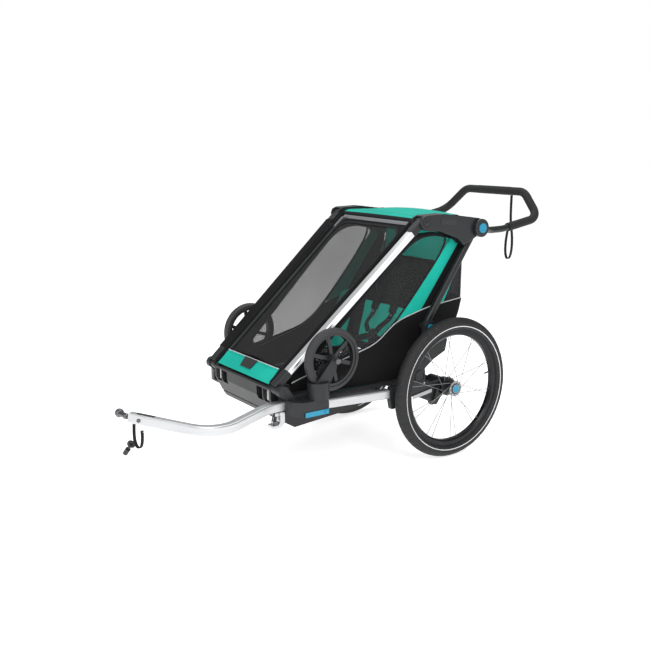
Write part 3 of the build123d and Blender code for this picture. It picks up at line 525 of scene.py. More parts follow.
FRONT_FILM = film("tinted_front_film", ((0.008, 0.008, 0.008), (0.02, 0.02, 0.02)), 0.50, 0.12)
SIDE_FILM = film("clear_side_film", ((0.02, 0.022, 0.022), (0.06, 0.064, 0.064)), 0.16, 0.10)
LENS = film("reflector_lens", ((0.55, 0.56, 0.57), (0.8, 0.8, 0.8)), 0.96, 0.15)
print("film finishes ready")

# %% [markdown]
# ## Finishes on the hard parts
# The frame's own nodes keep their shapes. Each only gets the finish that the real part
# has: anodised where the frame is bare metal, powder coat where a tube is black, fine
# moulded grain on the castings, and blue on everything a hand is meant to press.

# %% Dress the frame's nodes
FINISHES = {
    "rim": RIM_BLACK,
    "spokes": SPOKE_WIRE,
    "hub": BLACK_PLASTIC,
    "hub_button": BLUE_PLASTIC,
    "fold_button": BLUE_PLASTIC,
    "slide_lock": BLUE_PLASTIC,
    "handle_button": BLUE_PLASTIC,
    "stroller_fork": BLACK_PLASTIC,
    "stroller_wheel": CASING_BLACK,
    "stroller_tyre": GREY_RUBBER,
    "tyre": TYRE_RUBBER,
    "lower_rails": SILVER_RAIL,
    "front_tubes": SILVER_SLOPE_PAINTED_LIGHT,
    "hitch_arm": SILVER_ARM,
    "hitch_clamp": SILVER_RAIL,
    "crown_casings": CASING_BLACK,
    "handlebar_hubs": CASING_BLACK,
    "handlebar_tube": POWDER_COAT,
    "rear_tubes": POWDER_COAT,
    "roof_cross_tubes": POWDER_COAT,
    "axle_beam": POWDER_COAT,
    "handlebar_grip": GRIP_FOAM,
    "floor_tub": TUB_PLASTIC,
    "front_reflectors": LENS,
    "wheel_axles": STEEL,
    "rear_pivot_pins": STEEL,
    "nose_pivot_pins": DARK_STEEL,
    "crown_pivot_pins": DARK_STEEL,
    "suspension_links": STEEL,
    "side_windows": SIDE_FILM,
    "front_window": FRONT_FILM,
    "hitch_ball": DARK_STEEL,
}
for name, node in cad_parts.items():
    kind = name.removesuffix("_left").removesuffix("_right")
    finish = FINISHES.get(kind, BLACK_PLASTIC)
    node.data.materials.clear()
    node.data.materials.append(finish)
print(len(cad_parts), "nodes dressed")

# %% [markdown]
# ## Road tyres
# A tyre is a round tube on the rim, with a tread of shallow blocks on its crown and
# shoulders and a thin reflective line low on each sidewall. It could be a plain torus
# with a painted line. Here half of a cross-section is drawn point by point and spun
# about the axle, so that the line is a band of real faces with its own finish, and the
# tread is cut by insetting alternate faces.

# %% Mesh helpers
def deselect():
    if bpy.context.object and bpy.context.object.mode != "OBJECT":
        bpy.ops.object.mode_set(mode="OBJECT")
    bpy.ops.object.select_all(action="DESELECT")


def activate(piece):
    deselect()
    piece.select_set(True)
    bpy.context.view_layer.objects.active = piece


def new_piece(name, points, edges, faces, finish):
    """A mesh piece at the origin, from points that are already in place."""
    mesh = bpy.data.meshes.new(name)
    mesh.from_pydata([tuple(p) for p in points], edges, faces)
    mesh.update()
    piece = bpy.data.objects.new(name, mesh)
    bpy.context.scene.collection.objects.link(piece)
    mesh.materials.append(finish)
    activate(piece)
    return piece


def tidy(piece, angle=35):
    """Merges doubles, turns every face outward and smooths the gentle edges."""
    activate(piece)
    bpy.ops.object.mode_set(mode="EDIT")
    bpy.ops.mesh.select_all(action="SELECT")
    bpy.ops.mesh.remove_doubles(threshold=0.00002)
    bpy.ops.mesh.normals_make_consistent(inside=False)
    bpy.ops.object.mode_set(mode="OBJECT")
    bpy.ops.object.shade_smooth_by_angle(angle=math.radians(angle))
    return piece


def apply_modifiers(piece):
    activate(piece)
    for modifier in list(piece.modifiers):
        bpy.ops.object.modifier_apply(modifier=modifier.name)
    return piece


def select_faces(piece, wanted):
    """Selects in edit mode only the faces that a test of their centre and normal wants."""
    bpy.ops.object.mode_set(mode="EDIT")
    bpy.ops.mesh.select_mode(type="FACE")
    bpy.ops.mesh.select_all(action="DESELECT")
    shape = bmesh.from_edit_mesh(piece.data)
    count = 0
    for face in shape.faces:
        if wanted(face.calc_center_median(), face.normal):
            face.select_set(True)
            count += 1
    bmesh.update_edit_mesh(piece.data)
    return count


def mirrored(piece, name):
    """A copy on the other side, with its own mesh and its faces turned back outward."""
    other = piece.copy()
    other.data = piece.data.copy()
    other.name = name
    bpy.context.scene.collection.objects.link(other)
    other.data.transform(Matrix.Scale(-1, 4, (1, 0, 0)))
    other.data.flip_normals()
    return other


print("helpers ready")

# %% Spin one tyre section about the axle
TYRE_SECTION = [
    (208.2, -12.5), (209.5, -16.0), (213, -19.4), (218.2, -22.1), (220.1, -22.65),
    (222.9, -23.25), (224.6, -23.4), (229, -23.3), (234, -22.2), (238.5, -20.2),
    (242.5, -17.0), (245.8, -13.0), (248.2, -8.6), (249.5, -4.2), (249.9, 0),
]
TYRE_STEPS = 180


def make_tyre():
    middle = 300
    half = [at(middle + x, 0, 250 + r) for r, x in TYRE_SECTION]
    other = [at(middle - x, 0, 250 + r) for r, x in reversed(TYRE_SECTION[:-1])]
    points = half + other
    edges = [(i, i + 1) for i in range(len(points) - 1)]
    tyre = new_piece("road_tyre_left", points, edges, [], TYRE_RUBBER)
    tyre.data.materials.append(WHITE_LINE)
    bpy.ops.object.mode_set(mode="EDIT")
    bpy.ops.mesh.select_all(action="SELECT")
    bpy.ops.mesh.spin(steps=TYRE_STEPS, angle=2 * math.pi, center=at(300, 0, 250), axis=(1, 0, 0))
    bpy.ops.object.mode_set(mode="OBJECT")
    return tidy(tyre, 50)


def radius_of(point):
    return math.hypot(point.y - AXLE_Y, point.z - AXLE_Z) * 1000


def step_of(point):
    turn = math.atan2(point.z - AXLE_Z, point.y - AXLE_Y) / (2 * math.pi)
    return math.floor((turn % 1) * TYRE_STEPS + 1e-6)


tyre = make_tyre()
for face in tyre.data.polygons:
    if 220.1 < radius_of(face.center) < 222.9 and abs(face.center.x - 0.3) > 0.02:
        face.material_index = 1
print("tyre faces", len(tyre.data.polygons))


# %% Cut the tread
def crown_groove(centre, normal):
    return radius_of(centre) > 248.8 and step_of(centre) % 3 != 0


def shoulder_groove(centre, normal):
    return 239.5 < radius_of(centre) < 247.6 and step_of(centre) % 4 == 0


activate(tyre)
blocks = select_faces(tyre, crown_groove)
bpy.ops.mesh.inset(thickness=0.0009, depth=-0.0006, use_individual=True)
bpy.ops.object.mode_set(mode="OBJECT")
sipes = select_faces(tyre, shoulder_groove)
bpy.ops.mesh.inset(thickness=0.0022, depth=-0.0013)
bpy.ops.object.mode_set(mode="OBJECT")
print(blocks, "crown blocks and", sipes, "shoulder grooves")

# %% [markdown]
# ### The valve
# The inner tube's valve stands out of the rim on its inner side: a thin threaded stem
# with a ribbed dust cap. A short cylinder is inset and extruded into its steps.

# %% Valve on the rim
def steps_up(piece, normal, steps):
    """Extrudes the end face that looks along a direction through inset and height pairs."""
    axis = Vector(normal).normalized()
    far = max(p.center.dot(axis) for p in piece.data.polygons)
    select_faces(piece, lambda centre, n: n.dot(axis) > 0.99 and centre.dot(axis) > far - 1e-5)
    for inset, rise in steps:
        if inset:
            bpy.ops.mesh.inset(thickness=inset)
        if rise:
            bpy.ops.mesh.extrude_region_move(TRANSFORM_OT_translate={"value": axis * rise})
    bpy.ops.object.mode_set(mode="OBJECT")


def stud(name, centre, direction, radius, depth, finish, steps=(), bevel=0.0, sides=24):
    """A round boss from a cylinder, built up in steps at its outer end and bevelled."""
    deselect()
    bpy.ops.mesh.primitive_cylinder_add(vertices=sides, radius=radius, depth=depth)
    piece = bpy.context.object
    piece.name = name
    steps_up(piece, (0, 0, 1), steps)
    turn = Vector(direction).to_track_quat("Z", "Y").to_matrix().to_4x4()
    piece.data.transform(Matrix.Translation(centre) @ turn)
    piece.data.materials.append(finish)
    if bevel:
        rounder = piece.modifiers.new("round", "BEVEL")
        rounder.width = bevel
        rounder.segments = 2
        rounder.limit_method = "ANGLE"
        apply_modifiers(piece)
    return tidy(piece, 40)


VALVE_TURN = math.radians(9)
inward = Vector((0, -math.cos(VALVE_TURN), -math.sin(VALVE_TURN)))
valve_place = at(300, 0, 250) - inward * 0.185
valve = stud(
    "valve_left",
    valve_place,
    inward,
    0.0035,
    0.010,
    DARK_STEEL,
    [(0.0006, 0.006), (-0.0008, 0.0), (0.0, 0.010)],
    0.0004,
    16,
)
print("valve reaches", round(radius_of(valve_place + inward * 0.021), 1), "mm from the axle")

# %% [markdown]
# ### The slotted ring
# Round the blue axle button sits a grey ring whose slots hold the spoke heads. It is a
# disc with every second outer face pushed in, the way a file would cut the slots.

# %% Slotted spoke ring
def make_spoke_ring():
    deselect()
    bpy.ops.mesh.primitive_cylinder_add(vertices=40, radius=0.0278, depth=0.004)
    ring = bpy.context.object
    ring.name = "spoke_ring_left"
    ring.data.transform(Matrix.Translation(at(320.5, 0, 250)) @ Matrix.Rotation(math.pi / 2, 4, "Y"))
    select_faces(ring, lambda centre, n: n.x > 0.9)
    bpy.ops.mesh.inset(thickness=0.0075)
    bpy.ops.mesh.inset(thickness=0.0045)
    bpy.ops.mesh.extrude_region_move(TRANSFORM_OT_translate={"value": (0.0028, 0, 0)})
    bpy.ops.mesh.inset(thickness=0.0018)
    bpy.ops.mesh.extrude_region_move(TRANSFORM_OT_translate={"value": (-0.0020, 0, 0)})
    bpy.ops.object.mode_set(mode="OBJECT")

    def slot_face(centre, n):
        turn = math.atan2(centre.z - AXLE_Z, centre.y - AXLE_Y) / (2 * math.pi) * 40
        return n.x > 0.9 and 20 < radius_of(centre) < 27 and math.floor(turn + 20) % 4 == 0

    count = select_faces(ring, slot_face)
    bpy.ops.mesh.inset(thickness=0.0006, depth=-0.0016, use_individual=True)
    bpy.ops.object.mode_set(mode="OBJECT")
    ring.data.materials.append(RING_METAL)
    print("slots", count)
    return tidy(ring, 30)


spoke_ring = make_spoke_ring()
for piece in (tyre, valve, spoke_ring):
    other = mirrored(piece, piece.name.replace("_left", "_right"))
    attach(piece, "wheel_left")
    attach(other, "wheel_right")
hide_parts("tyre_left")
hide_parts("tyre_right")
print("wheels dressed on both sides")

# %% [markdown]
# ## Cloth panels
# Every panel of the cabin is a sheet held stretched in the frame. It is lofted between
# its lower and its upper edge, which are read off at the same number of places, and
# pushed a few millimetres off its plane in the middle, as stretched cloth bellies
# between its seams. The grid follows the edges, so light runs along the seams and not
# across them.

# %% Edges, lofts and ribbons
def resample(points, count):
    """Evenly spaced points along a line of straight runs."""
    lengths = [0.0]
    for a, b in zip(points, points[1:]):
        lengths.append(lengths[-1] + (Vector(b) - Vector(a)).length)
    found = []
    for k in range(count):
        goal = lengths[-1] * k / (count - 1)
        i = max(j for j in range(len(points) - 1) if lengths[j] <= goal + 1e-9)
        share = (goal - lengths[i]) / max(lengths[i + 1] - lengths[i], 1e-9)
        found.append(Vector(points[i]).lerp(Vector(points[i + 1]), share))
    return found


def rounded_line(points, passes=2):
    """Cuts the corners of a line, so that it runs in a smooth curve."""
    points = [Vector(p) for p in points]
    for _ in range(passes):
        cut = [points[0]]
        for a, b in zip(points, points[1:]):
            cut += [a.lerp(b, 0.25), a.lerp(b, 0.75)]
        points = cut + [points[-1]]
    return points


def loft(name, lower, upper, finish, columns=60, rows=14, belly=0.0, out=(1, 0, 0), thick=0.0012):
    """A sheet between two edges, bellied outward in its middle, with a small thickness."""
    low, high = resample(lower, columns), resample(upper, columns)
    out = Vector(out)
    points = []
    for r in range(rows):
        v = r / (rows - 1)
        for c in range(columns):
            u = c / (columns - 1)
            swell = belly * (16 * u * (1 - u) * v * (1 - v)) ** 0.6
            points.append(low[c].lerp(high[c], v) + out * swell)
    faces = [
        (r * columns + c, r * columns + c + 1, (r + 1) * columns + c + 1, (r + 1) * columns + c)
        for r in range(rows - 1)
        for c in range(columns - 1)
    ]
    sheet = new_piece(name, points, [], faces, finish)
    normal = sum((p.normal * p.area for p in sheet.data.polygons), Vector())
    if normal.dot(out) < 0:
        sheet.data.flip_normals()
    wall = sheet.modifiers.new("wall", "SOLIDIFY")
    wall.thickness = thick
    wall.offset = 0
    apply_modifiers(sheet)
    activate(sheet)
    bpy.ops.object.shade_smooth_by_angle(angle=math.radians(40))
    return sheet


def ribbon(name, line, width, thick, out, finish, crown=0.3, across=None):
    """A flat band along a line, with its face looking out, or its width lying across."""
    line = [Vector(p) for p in line]
    rows = []
    for i, here in enumerate(line):
        along = (line[min(i + 1, len(line) - 1)] - line[max(i - 1, 0)]).normalized()
        face = Vector(across).cross(along) if across else Vector(out)
        side = along.cross(face).normalized()
        face = side.cross(along).normalized()
        section = [
            (-0.5, -0.5),
            (-0.5, 0.2),
            (-0.25, 0.5 + crown * 0.7),
            (0, 0.5 + crown),
            (0.25, 0.5 + crown * 0.7),
            (0.5, 0.2),
            (0.5, -0.5),
        ]
        rows.append([here + side * (a * width) + face * (b * thick) for a, b in section])
    count = len(rows[0])
    points = [p for row in rows for p in row]
    faces = []
    for r in range(len(rows) - 1):
        for c in range(count):
            d = (c + 1) % count
            faces.append((r * count + c, r * count + d, (r + 1) * count + d, (r + 1) * count + c))
    faces.append(tuple(range(count)))
    faces.append(tuple(range((len(rows) - 1) * count, len(rows) * count))[::-1])
    band = new_piece(name, points, [], faces, finish)
    return tidy(band, 50)


def bead(name, line, radius, finish, sides=6):
    """A thin round cord sewn along a line, such as piping."""
    line = [Vector(p) for p in line]
    rings = []
    for i, here in enumerate(line):
        along = (line[min(i + 1, len(line) - 1)] - line[max(i - 1, 0)]).normalized()
        side = along.cross(Vector((1, 0.01, 0.02))).normalized()
        up = side.cross(along).normalized()
        rings.append(
            [
                here + (side * math.cos(t) + up * math.sin(t)) * radius
                for t in (2 * math.pi * k / sides for k in range(sides))
            ]
        )
    points = [p for ring in rings for p in ring]
    faces = []
    for r in range(len(rings) - 1):
        for c in range(sides):
            d = (c + 1) % sides
            faces.append((r * sides + c, r * sides + d, (r + 1) * sides + d, (r + 1) * sides + c))
    faces.append(tuple(range(sides)))
    faces.append(tuple(range((len(rings) - 1) * sides, len(rings) * sides))[::-1])
    return tidy(new_piece(name, points, [], faces, finish), 70)


def stitches(name, line, finish, pitch=0.0042, length=0.0028, radius=0.0005, out=(1, 0, 0)):
    """A sewn row: one short six-sided thread, repeated along a line just above the cloth."""
    total = path_length([Vector(p) for p in line])
    places = resample(line, max(3, int(total / pitch)))
    points, faces = [], []
    lift = Vector(out).normalized() * radius * 0.8
    for a, b in zip(places, places[1:]):
        along = (b - a).normalized()
        side = along.cross(Vector(out)).normalized()
        base = len(points)
        for share, size in ((-0.5, 0.35), (-0.3, 1), (0.3, 1), (0.5, 0.35)):
            middle = (a + b) / 2 + along * length * share + lift
            for k in range(4):
                t = math.pi / 2 * k + math.pi / 4
                points.append(
                    middle + (side * math.cos(t) + lift.normalized() * math.sin(t)) * radius * size
                )
        for r in range(3):
            for c in range(4):
                d = (c + 1) % 4
                faces.append(
                    (base + r * 4 + c, base + r * 4 + d, base + (r + 1) * 4 + d, base + (r + 1) * 4 + c)
                )
        faces.append((base, base + 1, base + 2, base + 3))
        faces.append((base + 15, base + 14, base + 13, base + 12))
    return tidy(new_piece(name, points, [], faces, finish), 60)


print("loft, ribbon, bead and stitches ready")

# %% [markdown]
# ## Side cloths
# Each side is sewn from a black lower cloth, two green stripes either side of the rear
# tube, a mesh corner that lets air out, and black binding round a clear window pane. A
# pale piping runs along the top of the black cloth. Each of these pieces rides on the
# chassis.

# %% Where the side cloth lies
def side_at(y, z, lift=0.0):
    """A point on the left side cloth, by its place across the side."""
    x = 187 + (222 - 187) * min(max((y + 640) / 540, 0), 1)
    return at(x - 0.75 + lift, y, z)


def on_side(pairs, lift=0.0):
    return [side_at(y, z, lift) for y, z in pairs]


STANDS_FOR = {"lower_cloth": "side_panels", "window_pane": "side_windows"}


def fold_down(piece):
    """Rides on the chassis, with a mesh of its own."""
    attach(piece, "chassis")
    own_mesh(piece)
    return piece


def side_pair(piece):
    """The piece and its mirror image, named for their sides."""
    other = mirrored(piece, piece.name + "_right")
    piece.name = piece.name + "_left"
    return [piece, other]


PIPING_LINE = [
    (-597, 336),
    (-547, 353),
    (-345, 404),
    (-268, 428),
    (-222, 466),
    (-180, 497),
    (-81, 524),
    (-31, 534),
    (108, 549),
]
HEM_LINE = [
    (-597, 306), (-505, 306), (-505, 289), (-78, 289), (-74, 312), (48, 410), (90, 489), (106, 549)
]
TUBE_EDGE = [(-597, 379), (-205, 720), (-138, 779), (-118, 791), (-36, 794), (56, 767)]
WINDOW_EDGE = [(-547, 372), (-196, 706), (-110, 774), (-22, 786), (50, 763)]
WINDOW_SILL = [(-547, 372), (-345, 408), (-268, 430), (-178, 500)]
PANELS = (
    (
        "lower_cloth",
        HEM_LINE,
        rounded_line([Vector((a, b, 0)) for a, b in PIPING_LINE]),
        BLACK_CLOTH,
        0.004,
    ),
    ("window_surround", WINDOW_EDGE, TUBE_EDGE, BLACK_CLOTH, 0.001),
    ("window_sill", PIPING_LINE[:6], [(-597, 379)] + WINDOW_SILL, BLACK_CLOTH, 0.001),
    ("front_stripe", [(-180, 498), (51, 765)], [(-81, 524), (82, 742)], GREEN_CLOTH, 0.003),
    (
        "tube_gusset",
        [(-81, 524), (82, 742), (92, 756)],
        [(-21, 532), (104, 704), (112, 732)],
        BLACK_CLOTH,
        0.001,
    ),
    ("rear_stripe", [(-21, 532), (104, 704)], [(22, 538), (106, 700)], GREEN_CLOTH, 0.001),
    ("mesh_corner", [(22, 538), (106, 700)], [(106, 549), (107, 700)], MESH_NET, 0.001),
    ("window_pane", WINDOW_SILL + [(51, 764)], WINDOW_EDGE, SIDE_FILM, 0.001),
)
for name, low_line, high_line, finish, belly in PANELS:
    edges = [[side_at(p[0], p[1]) for p in line] for line in (low_line, high_line)]
    panel = loft(name, *edges, finish, columns=80, rows=10, belly=belly)
    for piece in side_pair(panel):
        fold_down(piece)
        if name in STANDS_FOR:
            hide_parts(STANDS_FOR[name])
print(len(PANELS) * 2, "cloth panels")

# %% Piping, bindings and sewn rows on the sides
window_loop = rounded_line(on_side(WINDOW_EDGE + WINDOW_SILL[::-1], 0.6))
trims = [
    bead("side_piping", rounded_line(on_side(PIPING_LINE, 1.2)), 0.0019, PIPING),
    ribbon("window_binding", window_loop, 0.009, 0.0012, (1, 0, 0), WEBBING),
    ribbon("seam_binding", on_side([(-21, 532), (104, 704)], 0.8), 0.007, 0.0010, (1, 0, 0), WEBBING),
    ribbon(
        "hem_binding", rounded_line(on_side(HEM_LINE[3:], 0.6), 1), 0.010, 0.0014, (1, 0, 0), WEBBING
    ),
    stitches("stripe_stitches", on_side([(-172, 503), (54, 762)], 1.0), THREAD_GREEN),
    stitches("stripe_stitches_rear", on_side([(-84, 528), (78, 742)], 1.0), THREAD_GREEN),
    stitches(
        "piping_stitches",
        rounded_line(on_side([(y, z - 6) for y, z in PIPING_LINE[:-1]], 1.4)),
        THREAD_BLACK,
    ),
]
for trim in trims:
    for piece in side_pair(trim):
        fold_down(piece)
print(len(trims) * 2, "side trims")

# %% [markdown]
# ## Rear wall
# Behind the seat a mesh window sits over a black cargo cloth. Both run across the whole
# cabin, from one side to the other, and lean in towards the floor at their foot.

# %% Rear mesh and cargo cloth
REAR_PROFILE = [(104, 711), (103, 550), (88, 489), (46, 413), (-71, 316)]


def across_rear(profile, x, lift=0.0):
    return [at(x, y + lift, z) for y, z in profile]


for name, profile, finish, belly in (
    ("rear_mesh", REAR_PROFILE[:2], MESH_NET, 0.003),
    ("cargo_cloth", rounded_line([Vector((a, b, 0)) for a, b in REAR_PROFILE[1:]]), BLACK_CLOTH, 0.004),
):
    pairs = [(p[0], p[1]) for p in profile]
    edges = [across_rear(pairs, 218.5), across_rear(pairs, -218.5)]
    wall = loft(name, *edges, finish, columns=36, rows=40, belly=belly, out=(0, 1, 0))
    fold_down(wall)
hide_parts("rear_panel")


def rear_row(y, z, half=217):
    """The two ends of a straight line across the rear wall."""
    return [at(-half, y, z), at(half, y, z)]


rear_seams = [
    ribbon("rear_binding_top", rear_row(105.5, 708), 0.016, 0.0014, (0, 1, 0), WEBBING),
    ribbon("rear_binding_mid", rear_row(105, 551), 0.018, 0.0016, (0, 1, 0), WEBBING),
    bead("rear_piping", rear_row(106, 549, 218), 0.0016, PIPING),
    ribbon("pocket_flap", rear_row(84, 470, 170), 0.060, 0.0030, (0, 0.9, -0.35), BLACK_CLOTH, 0.1),
]
for x, side in ((-214, "right"), (214, "left")):
    edge = across_rear([(106, 705), (105, 552)], x)
    rear_seams.append(ribbon("rear_edge_" + side, edge, 0.010, 0.0016, (0, 1, 0), WEBBING))
for piece in rear_seams:
    fold_down(piece)
print("rear wall closed")

# %% [markdown]
# ## Front cover
# The cover zips over the sloping front. Black cloth frames a tinted window whose upper
# corners are round; a zip runs up the far edge, a black wrap covers the far tube, and a
# grey strip crosses under the roof.
# A green panel with a pale piping closes its foot, and carries a plain dark badge.

# %% The cover's own plane
def cover_at(x, s, rise=0.0):
    """A point on the cover: across, up the slope, and off the cloth."""
    return at(x, -642 + 0.7545 * s - 0.6563 * rise, 361 + 0.6563 * s + 0.7545 * rise)


COVER_OUT = cover_at(0, 0, 1) - cover_at(0, 0, 0)


def cover_half(s):
    return 186.5 + 19 * (s + 34) / 746.6


def corner_arc(x, s, radius, start, steps=8):
    turns = [math.radians(start - 90 * k / steps) for k in range(steps + 1)]
    return [(x + radius * math.cos(t), s + radius * math.sin(t)) for t in turns]


OUTER_RING = [(0, -34), (-186.5, -34), (-205.5, 712), (205.5, 712), (186.5, -34), (0, -34)]
UPPER_CORNERS = corner_arc(-124, 621, 55, 180) + corner_arc(124, 621, 55, 90)
INNER_RING = [(0, 34), (-161, 34), (-178.5, 622)] + UPPER_CORNERS + [(161, 34), (0, 34)]
ring_edges = [[cover_at(x, s, 0.4) for x, s in ring] for ring in (INNER_RING, OUTER_RING)]
cover_cloth = loft(
    "front_cover_cloth",
    *ring_edges,
    BLACK_CLOTH,
    columns=200,
    rows=8,
    belly=0.003,
    out=COVER_OUT,
    thick=0.0022,
)
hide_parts("front_cover")

# %% Green foot panel, badge, zip and strip
def cover_line(points, rise):
    return [cover_at(x, s, rise) for x, s in points]


foot_low = cover_line([(-169, -35), (169, -35)], 2.5)
foot_high = cover_line([(-164, 24), (164, 24)], 6.5)
foot_panel = loft(
    "cover_foot_panel",
    foot_low,
    foot_high,
    GREEN_CLOTH,
    columns=50,
    rows=12,
    belly=0.0035,
    out=COVER_OUT,
    thick=0.0016,
)
badge_low = cover_line([(-37, -14), (29, -14)], 7.4)
badge_high = cover_line([(-44, 22), (36, 22)], 9.4)
badge = loft(
    "plain_badge",
    badge_low,
    badge_high,
    BADGE_GREY,
    columns=12,
    rows=8,
    belly=0.001,
    out=COVER_OUT,
    thick=0.0018,
)
zip_line = rounded_line(cover_line([(-172, 6), (-188.5, 655), (-179, 690), (-150, 700)], 3.2), 3)
strip_line = cover_line([(-186, 699), (186, 699)], 3.4)
cover_trims = [
    foot_panel,
    badge,
    bead("foot_piping", cover_line([(-165, 24.5), (165, 24.5)], 7.6), 0.0017, PIPING),
    ribbon("zip_tape", zip_line, 0.017, 0.0016, COVER_OUT, ZIP_TAPE, 0.0),
    stitches("zip_teeth", zip_line, THREAD_BLACK, 0.0030, 0.0020, 0.0011, COVER_OUT),
    ribbon("top_strip", strip_line, 0.016, 0.0016, COVER_OUT, TRIM_GREY, 0.0),
    ribbon(
        "top_strip_far",
        cover_line([(-189, 640), (-186, 694)], 4.4),
        0.012,
        0.0014,
        COVER_OUT,
        TRIM_GREY,
        0.0,
    ),
    stitches("foot_stitches", cover_line([(-160, 17), (160, 17)], 7.3), THREAD_GREEN, out=COVER_OUT),
    ribbon(
        "window_edge_binding",
        [cover_at(x, s, 2.2) for x, s in INNER_RING],
        0.008,
        0.0012,
        COVER_OUT,
        WEBBING,
    ),
]
for name, s, radius in (("zip_puller", 640, 0.0048), ("zip_pull_cord", 628, 0.0036)):
    place = cover_at(-188.0, s, 5.0)
    pull = stud(name, place, COVER_OUT, radius, 0.004, BLACK_PLASTIC, [(0.001, 0.0016)], 0.0008)
    cover_trims.append(pull)
for x, side in ((-1, "right"), (1, "left")):
    edge = [cover_at(x * (cover_half(s) - 5), s, 5.5) for s in (-30, 120, 300, 480, 640, 708)]
    welt = ribbon("cover_edge_" + side, edge, 0.014, 0.0095, COVER_OUT, BLACK_CLOTH, 0.4)
    cover_trims.append(welt)
wrap = [cover_at(-203 - 30 * s / 682, s, 12.0) for s in (24, 180, 340, 500, 668)]
cover_trims.append(ribbon("cover_wrap_right", wrap, 0.044, 0.0042, COVER_OUT, BLACK_CLOTH, 0.1))
for piece in [cover_cloth] + cover_trims:
    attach(piece, "front_frame")
print(len(cover_trims), "cover trims")

# %% [markdown]
# ## Roof
# One green cloth is stretched over two cross tubes between the casings. It is crowned
# across, rolls over the front tube into a hem, and runs down at the back as a flap that
# meets the mesh. Inside, the same flap shows its darker lining, given a painted glow like
# the roof's own lining.

# %% Roof cloth and rear flap
def roof_height(x, y):
    crown = min(1.0, 0.2 + max(0.0, y + 104) / 80)
    edge = 846.0 - 0.016 * (y + 72) - 4.0 * max(0.0, (-72 - y) / 21) ** 2
    back = max(0.0, (y - 88) / 22)
    return edge + 10 * crown * (1 - (x / 206) ** 2) - 6 * back**2


def grid_sheet(name, place, columns, rows, finish, out, thick=0.0016):
    """A sheet from a rule that puts each place of a unit square somewhere in the frame."""
    points = [place(c / (columns - 1), r / (rows - 1)) for r in range(rows) for c in range(columns)]
    faces = [
        (r * columns + c, r * columns + c + 1, (r + 1) * columns + c + 1, (r + 1) * columns + c)
        for r in range(rows - 1)
        for c in range(columns - 1)
    ]
    sheet = new_piece(name, points, [], faces, finish)
    if sum((p.normal * p.area for p in sheet.data.polygons), Vector()).dot(Vector(out)) < 0:
        sheet.data.flip_normals()
    wall = sheet.modifiers.new("wall", "SOLIDIFY")
    wall.thickness = thick
    wall.offset = 0
    apply_modifiers(sheet)
    activate(sheet)
    bpy.ops.object.shade_smooth_by_angle(angle=math.radians(50))
    return sheet


def roof_place(u, v):
    x, y = -206 + 412 * u, -104 + 214 * v
    return at(x, y, roof_height(x, y) - 1.2 - 1.5 * math.sin(math.pi * v) ** 2)


def flap_place(u, v):
    x = (-206 + 412 * u) * (1 + 0.04 * v)
    turn = math.pi / 2 * min(v / 0.25, 1)
    top = roof_height(-206 + 412 * u, 110) - 1.2
    drop = max(0.0, (v - 0.25) / 0.75)
    y = 110 + 9 * math.sin(turn) - 13 * drop
    z = top - 10 * (1 - math.cos(turn)) - (top - 10 - 706) * drop
    return at(x, y, z)


def lining_place(u, v):
    """Inside the flap, then on down in front of the mesh."""
    reach = 1.5 * v
    hang = max(0.0, reach - 1)
    place = flap_place(u * 0.96 + 0.02, min(reach, 0.99))
    return place + Vector((0, -0.0035 - 0.012 * hang, -0.002 - 0.13 * hang))


roof = grid_sheet("roof_cloth", roof_place, 60, 34, GREEN_CLOTH, (0, 0, 1), 0.002)
flap = grid_sheet("roof_rear_flap", flap_place, 60, 34, GREEN_CLOTH, (0, 1, 0), 0.0016)
# Flap lining and roof lining both take the glowing lining finish: painted light inside the roof.
lining = grid_sheet("roof_flap_lining", lining_place, 40, 30, GREEN_LINING, (0, -1, 0), 0.001)
ceiling = grid_sheet(
    "roof_lining",
    lambda u, v: roof_place(u * 0.98 + 0.01, v) + Vector((0, 0, -0.0035)),
    40,
    20,
    GREEN_LINING,
    (0, 0, -1),
    0.001,
)
for piece, size in (
    (roof, (0.418, 0.206)), (flap, (0.42, 0.155)), (lining, (0.41, 0.21)), (ceiling, (0.41, 0.206))
):
    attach(piece, "upper_frame")
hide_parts("roof_panel")


def row_on(place, v, shift, steps=20, start=0.0, span=1.0):
    """Points across the roof or the flap at one depth, each moved by the same shift."""
    return [place(start + span * k / steps, v) + Vector(shift) for k in range(steps + 1)]


SEAM_LIFT = (0, 0, 0.0014)
hem_row = row_on(roof_place, 0.0, (0, -0.001, -0.002))
front_row = row_on(roof_place, 0.09, SEAM_LIFT, 24, 0.02, 0.96)
rear_seam_row = row_on(roof_place, 0.92, SEAM_LIFT, 24, 0.02, 0.96)
flap_row = row_on(flap_place, 0.985, (0, 0.0016, 0))
roof_trims = [
    ribbon("roof_front_hem", hem_row, 0.012, 0.0022, (0, -1, 0.6), WEBBING),
    stitches("roof_front_stitches", front_row, THREAD_GREEN, out=(0, 0, 1)),
    stitches("roof_rear_stitches", rear_seam_row, THREAD_GREEN, out=(0, 0, 1)),
    ribbon("flap_hem", flap_row, 0.014, 0.0014, (0, 1, 0), WEBBING),
]
for u, side in ((0.006, "right"), (0.994, "left")):
    edge = [roof_place(u, k / 12) + Vector((0, 0, 0.001)) for k in range(13)]
    roof_trims.append(ribbon("roof_edge_" + side, edge, 0.006, 0.002, (0, 0, 1), WEBBING))
for piece in roof_trims:
    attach(piece, "upper_frame")
print("roof and flap", len(roof_trims), "trims")

# %% [markdown]
# ## Seat
# The child sits on a foam cushion against a padded back, which has a green insert and
# two green side wings. Each
# pad is blown up by a short cloth simulation from a slightly smaller block, so that its
# faces crown and its sides pull in as stuffed cloth does. The voxel mesh has no seams,
# so the sewn channels are pressed in afterwards.

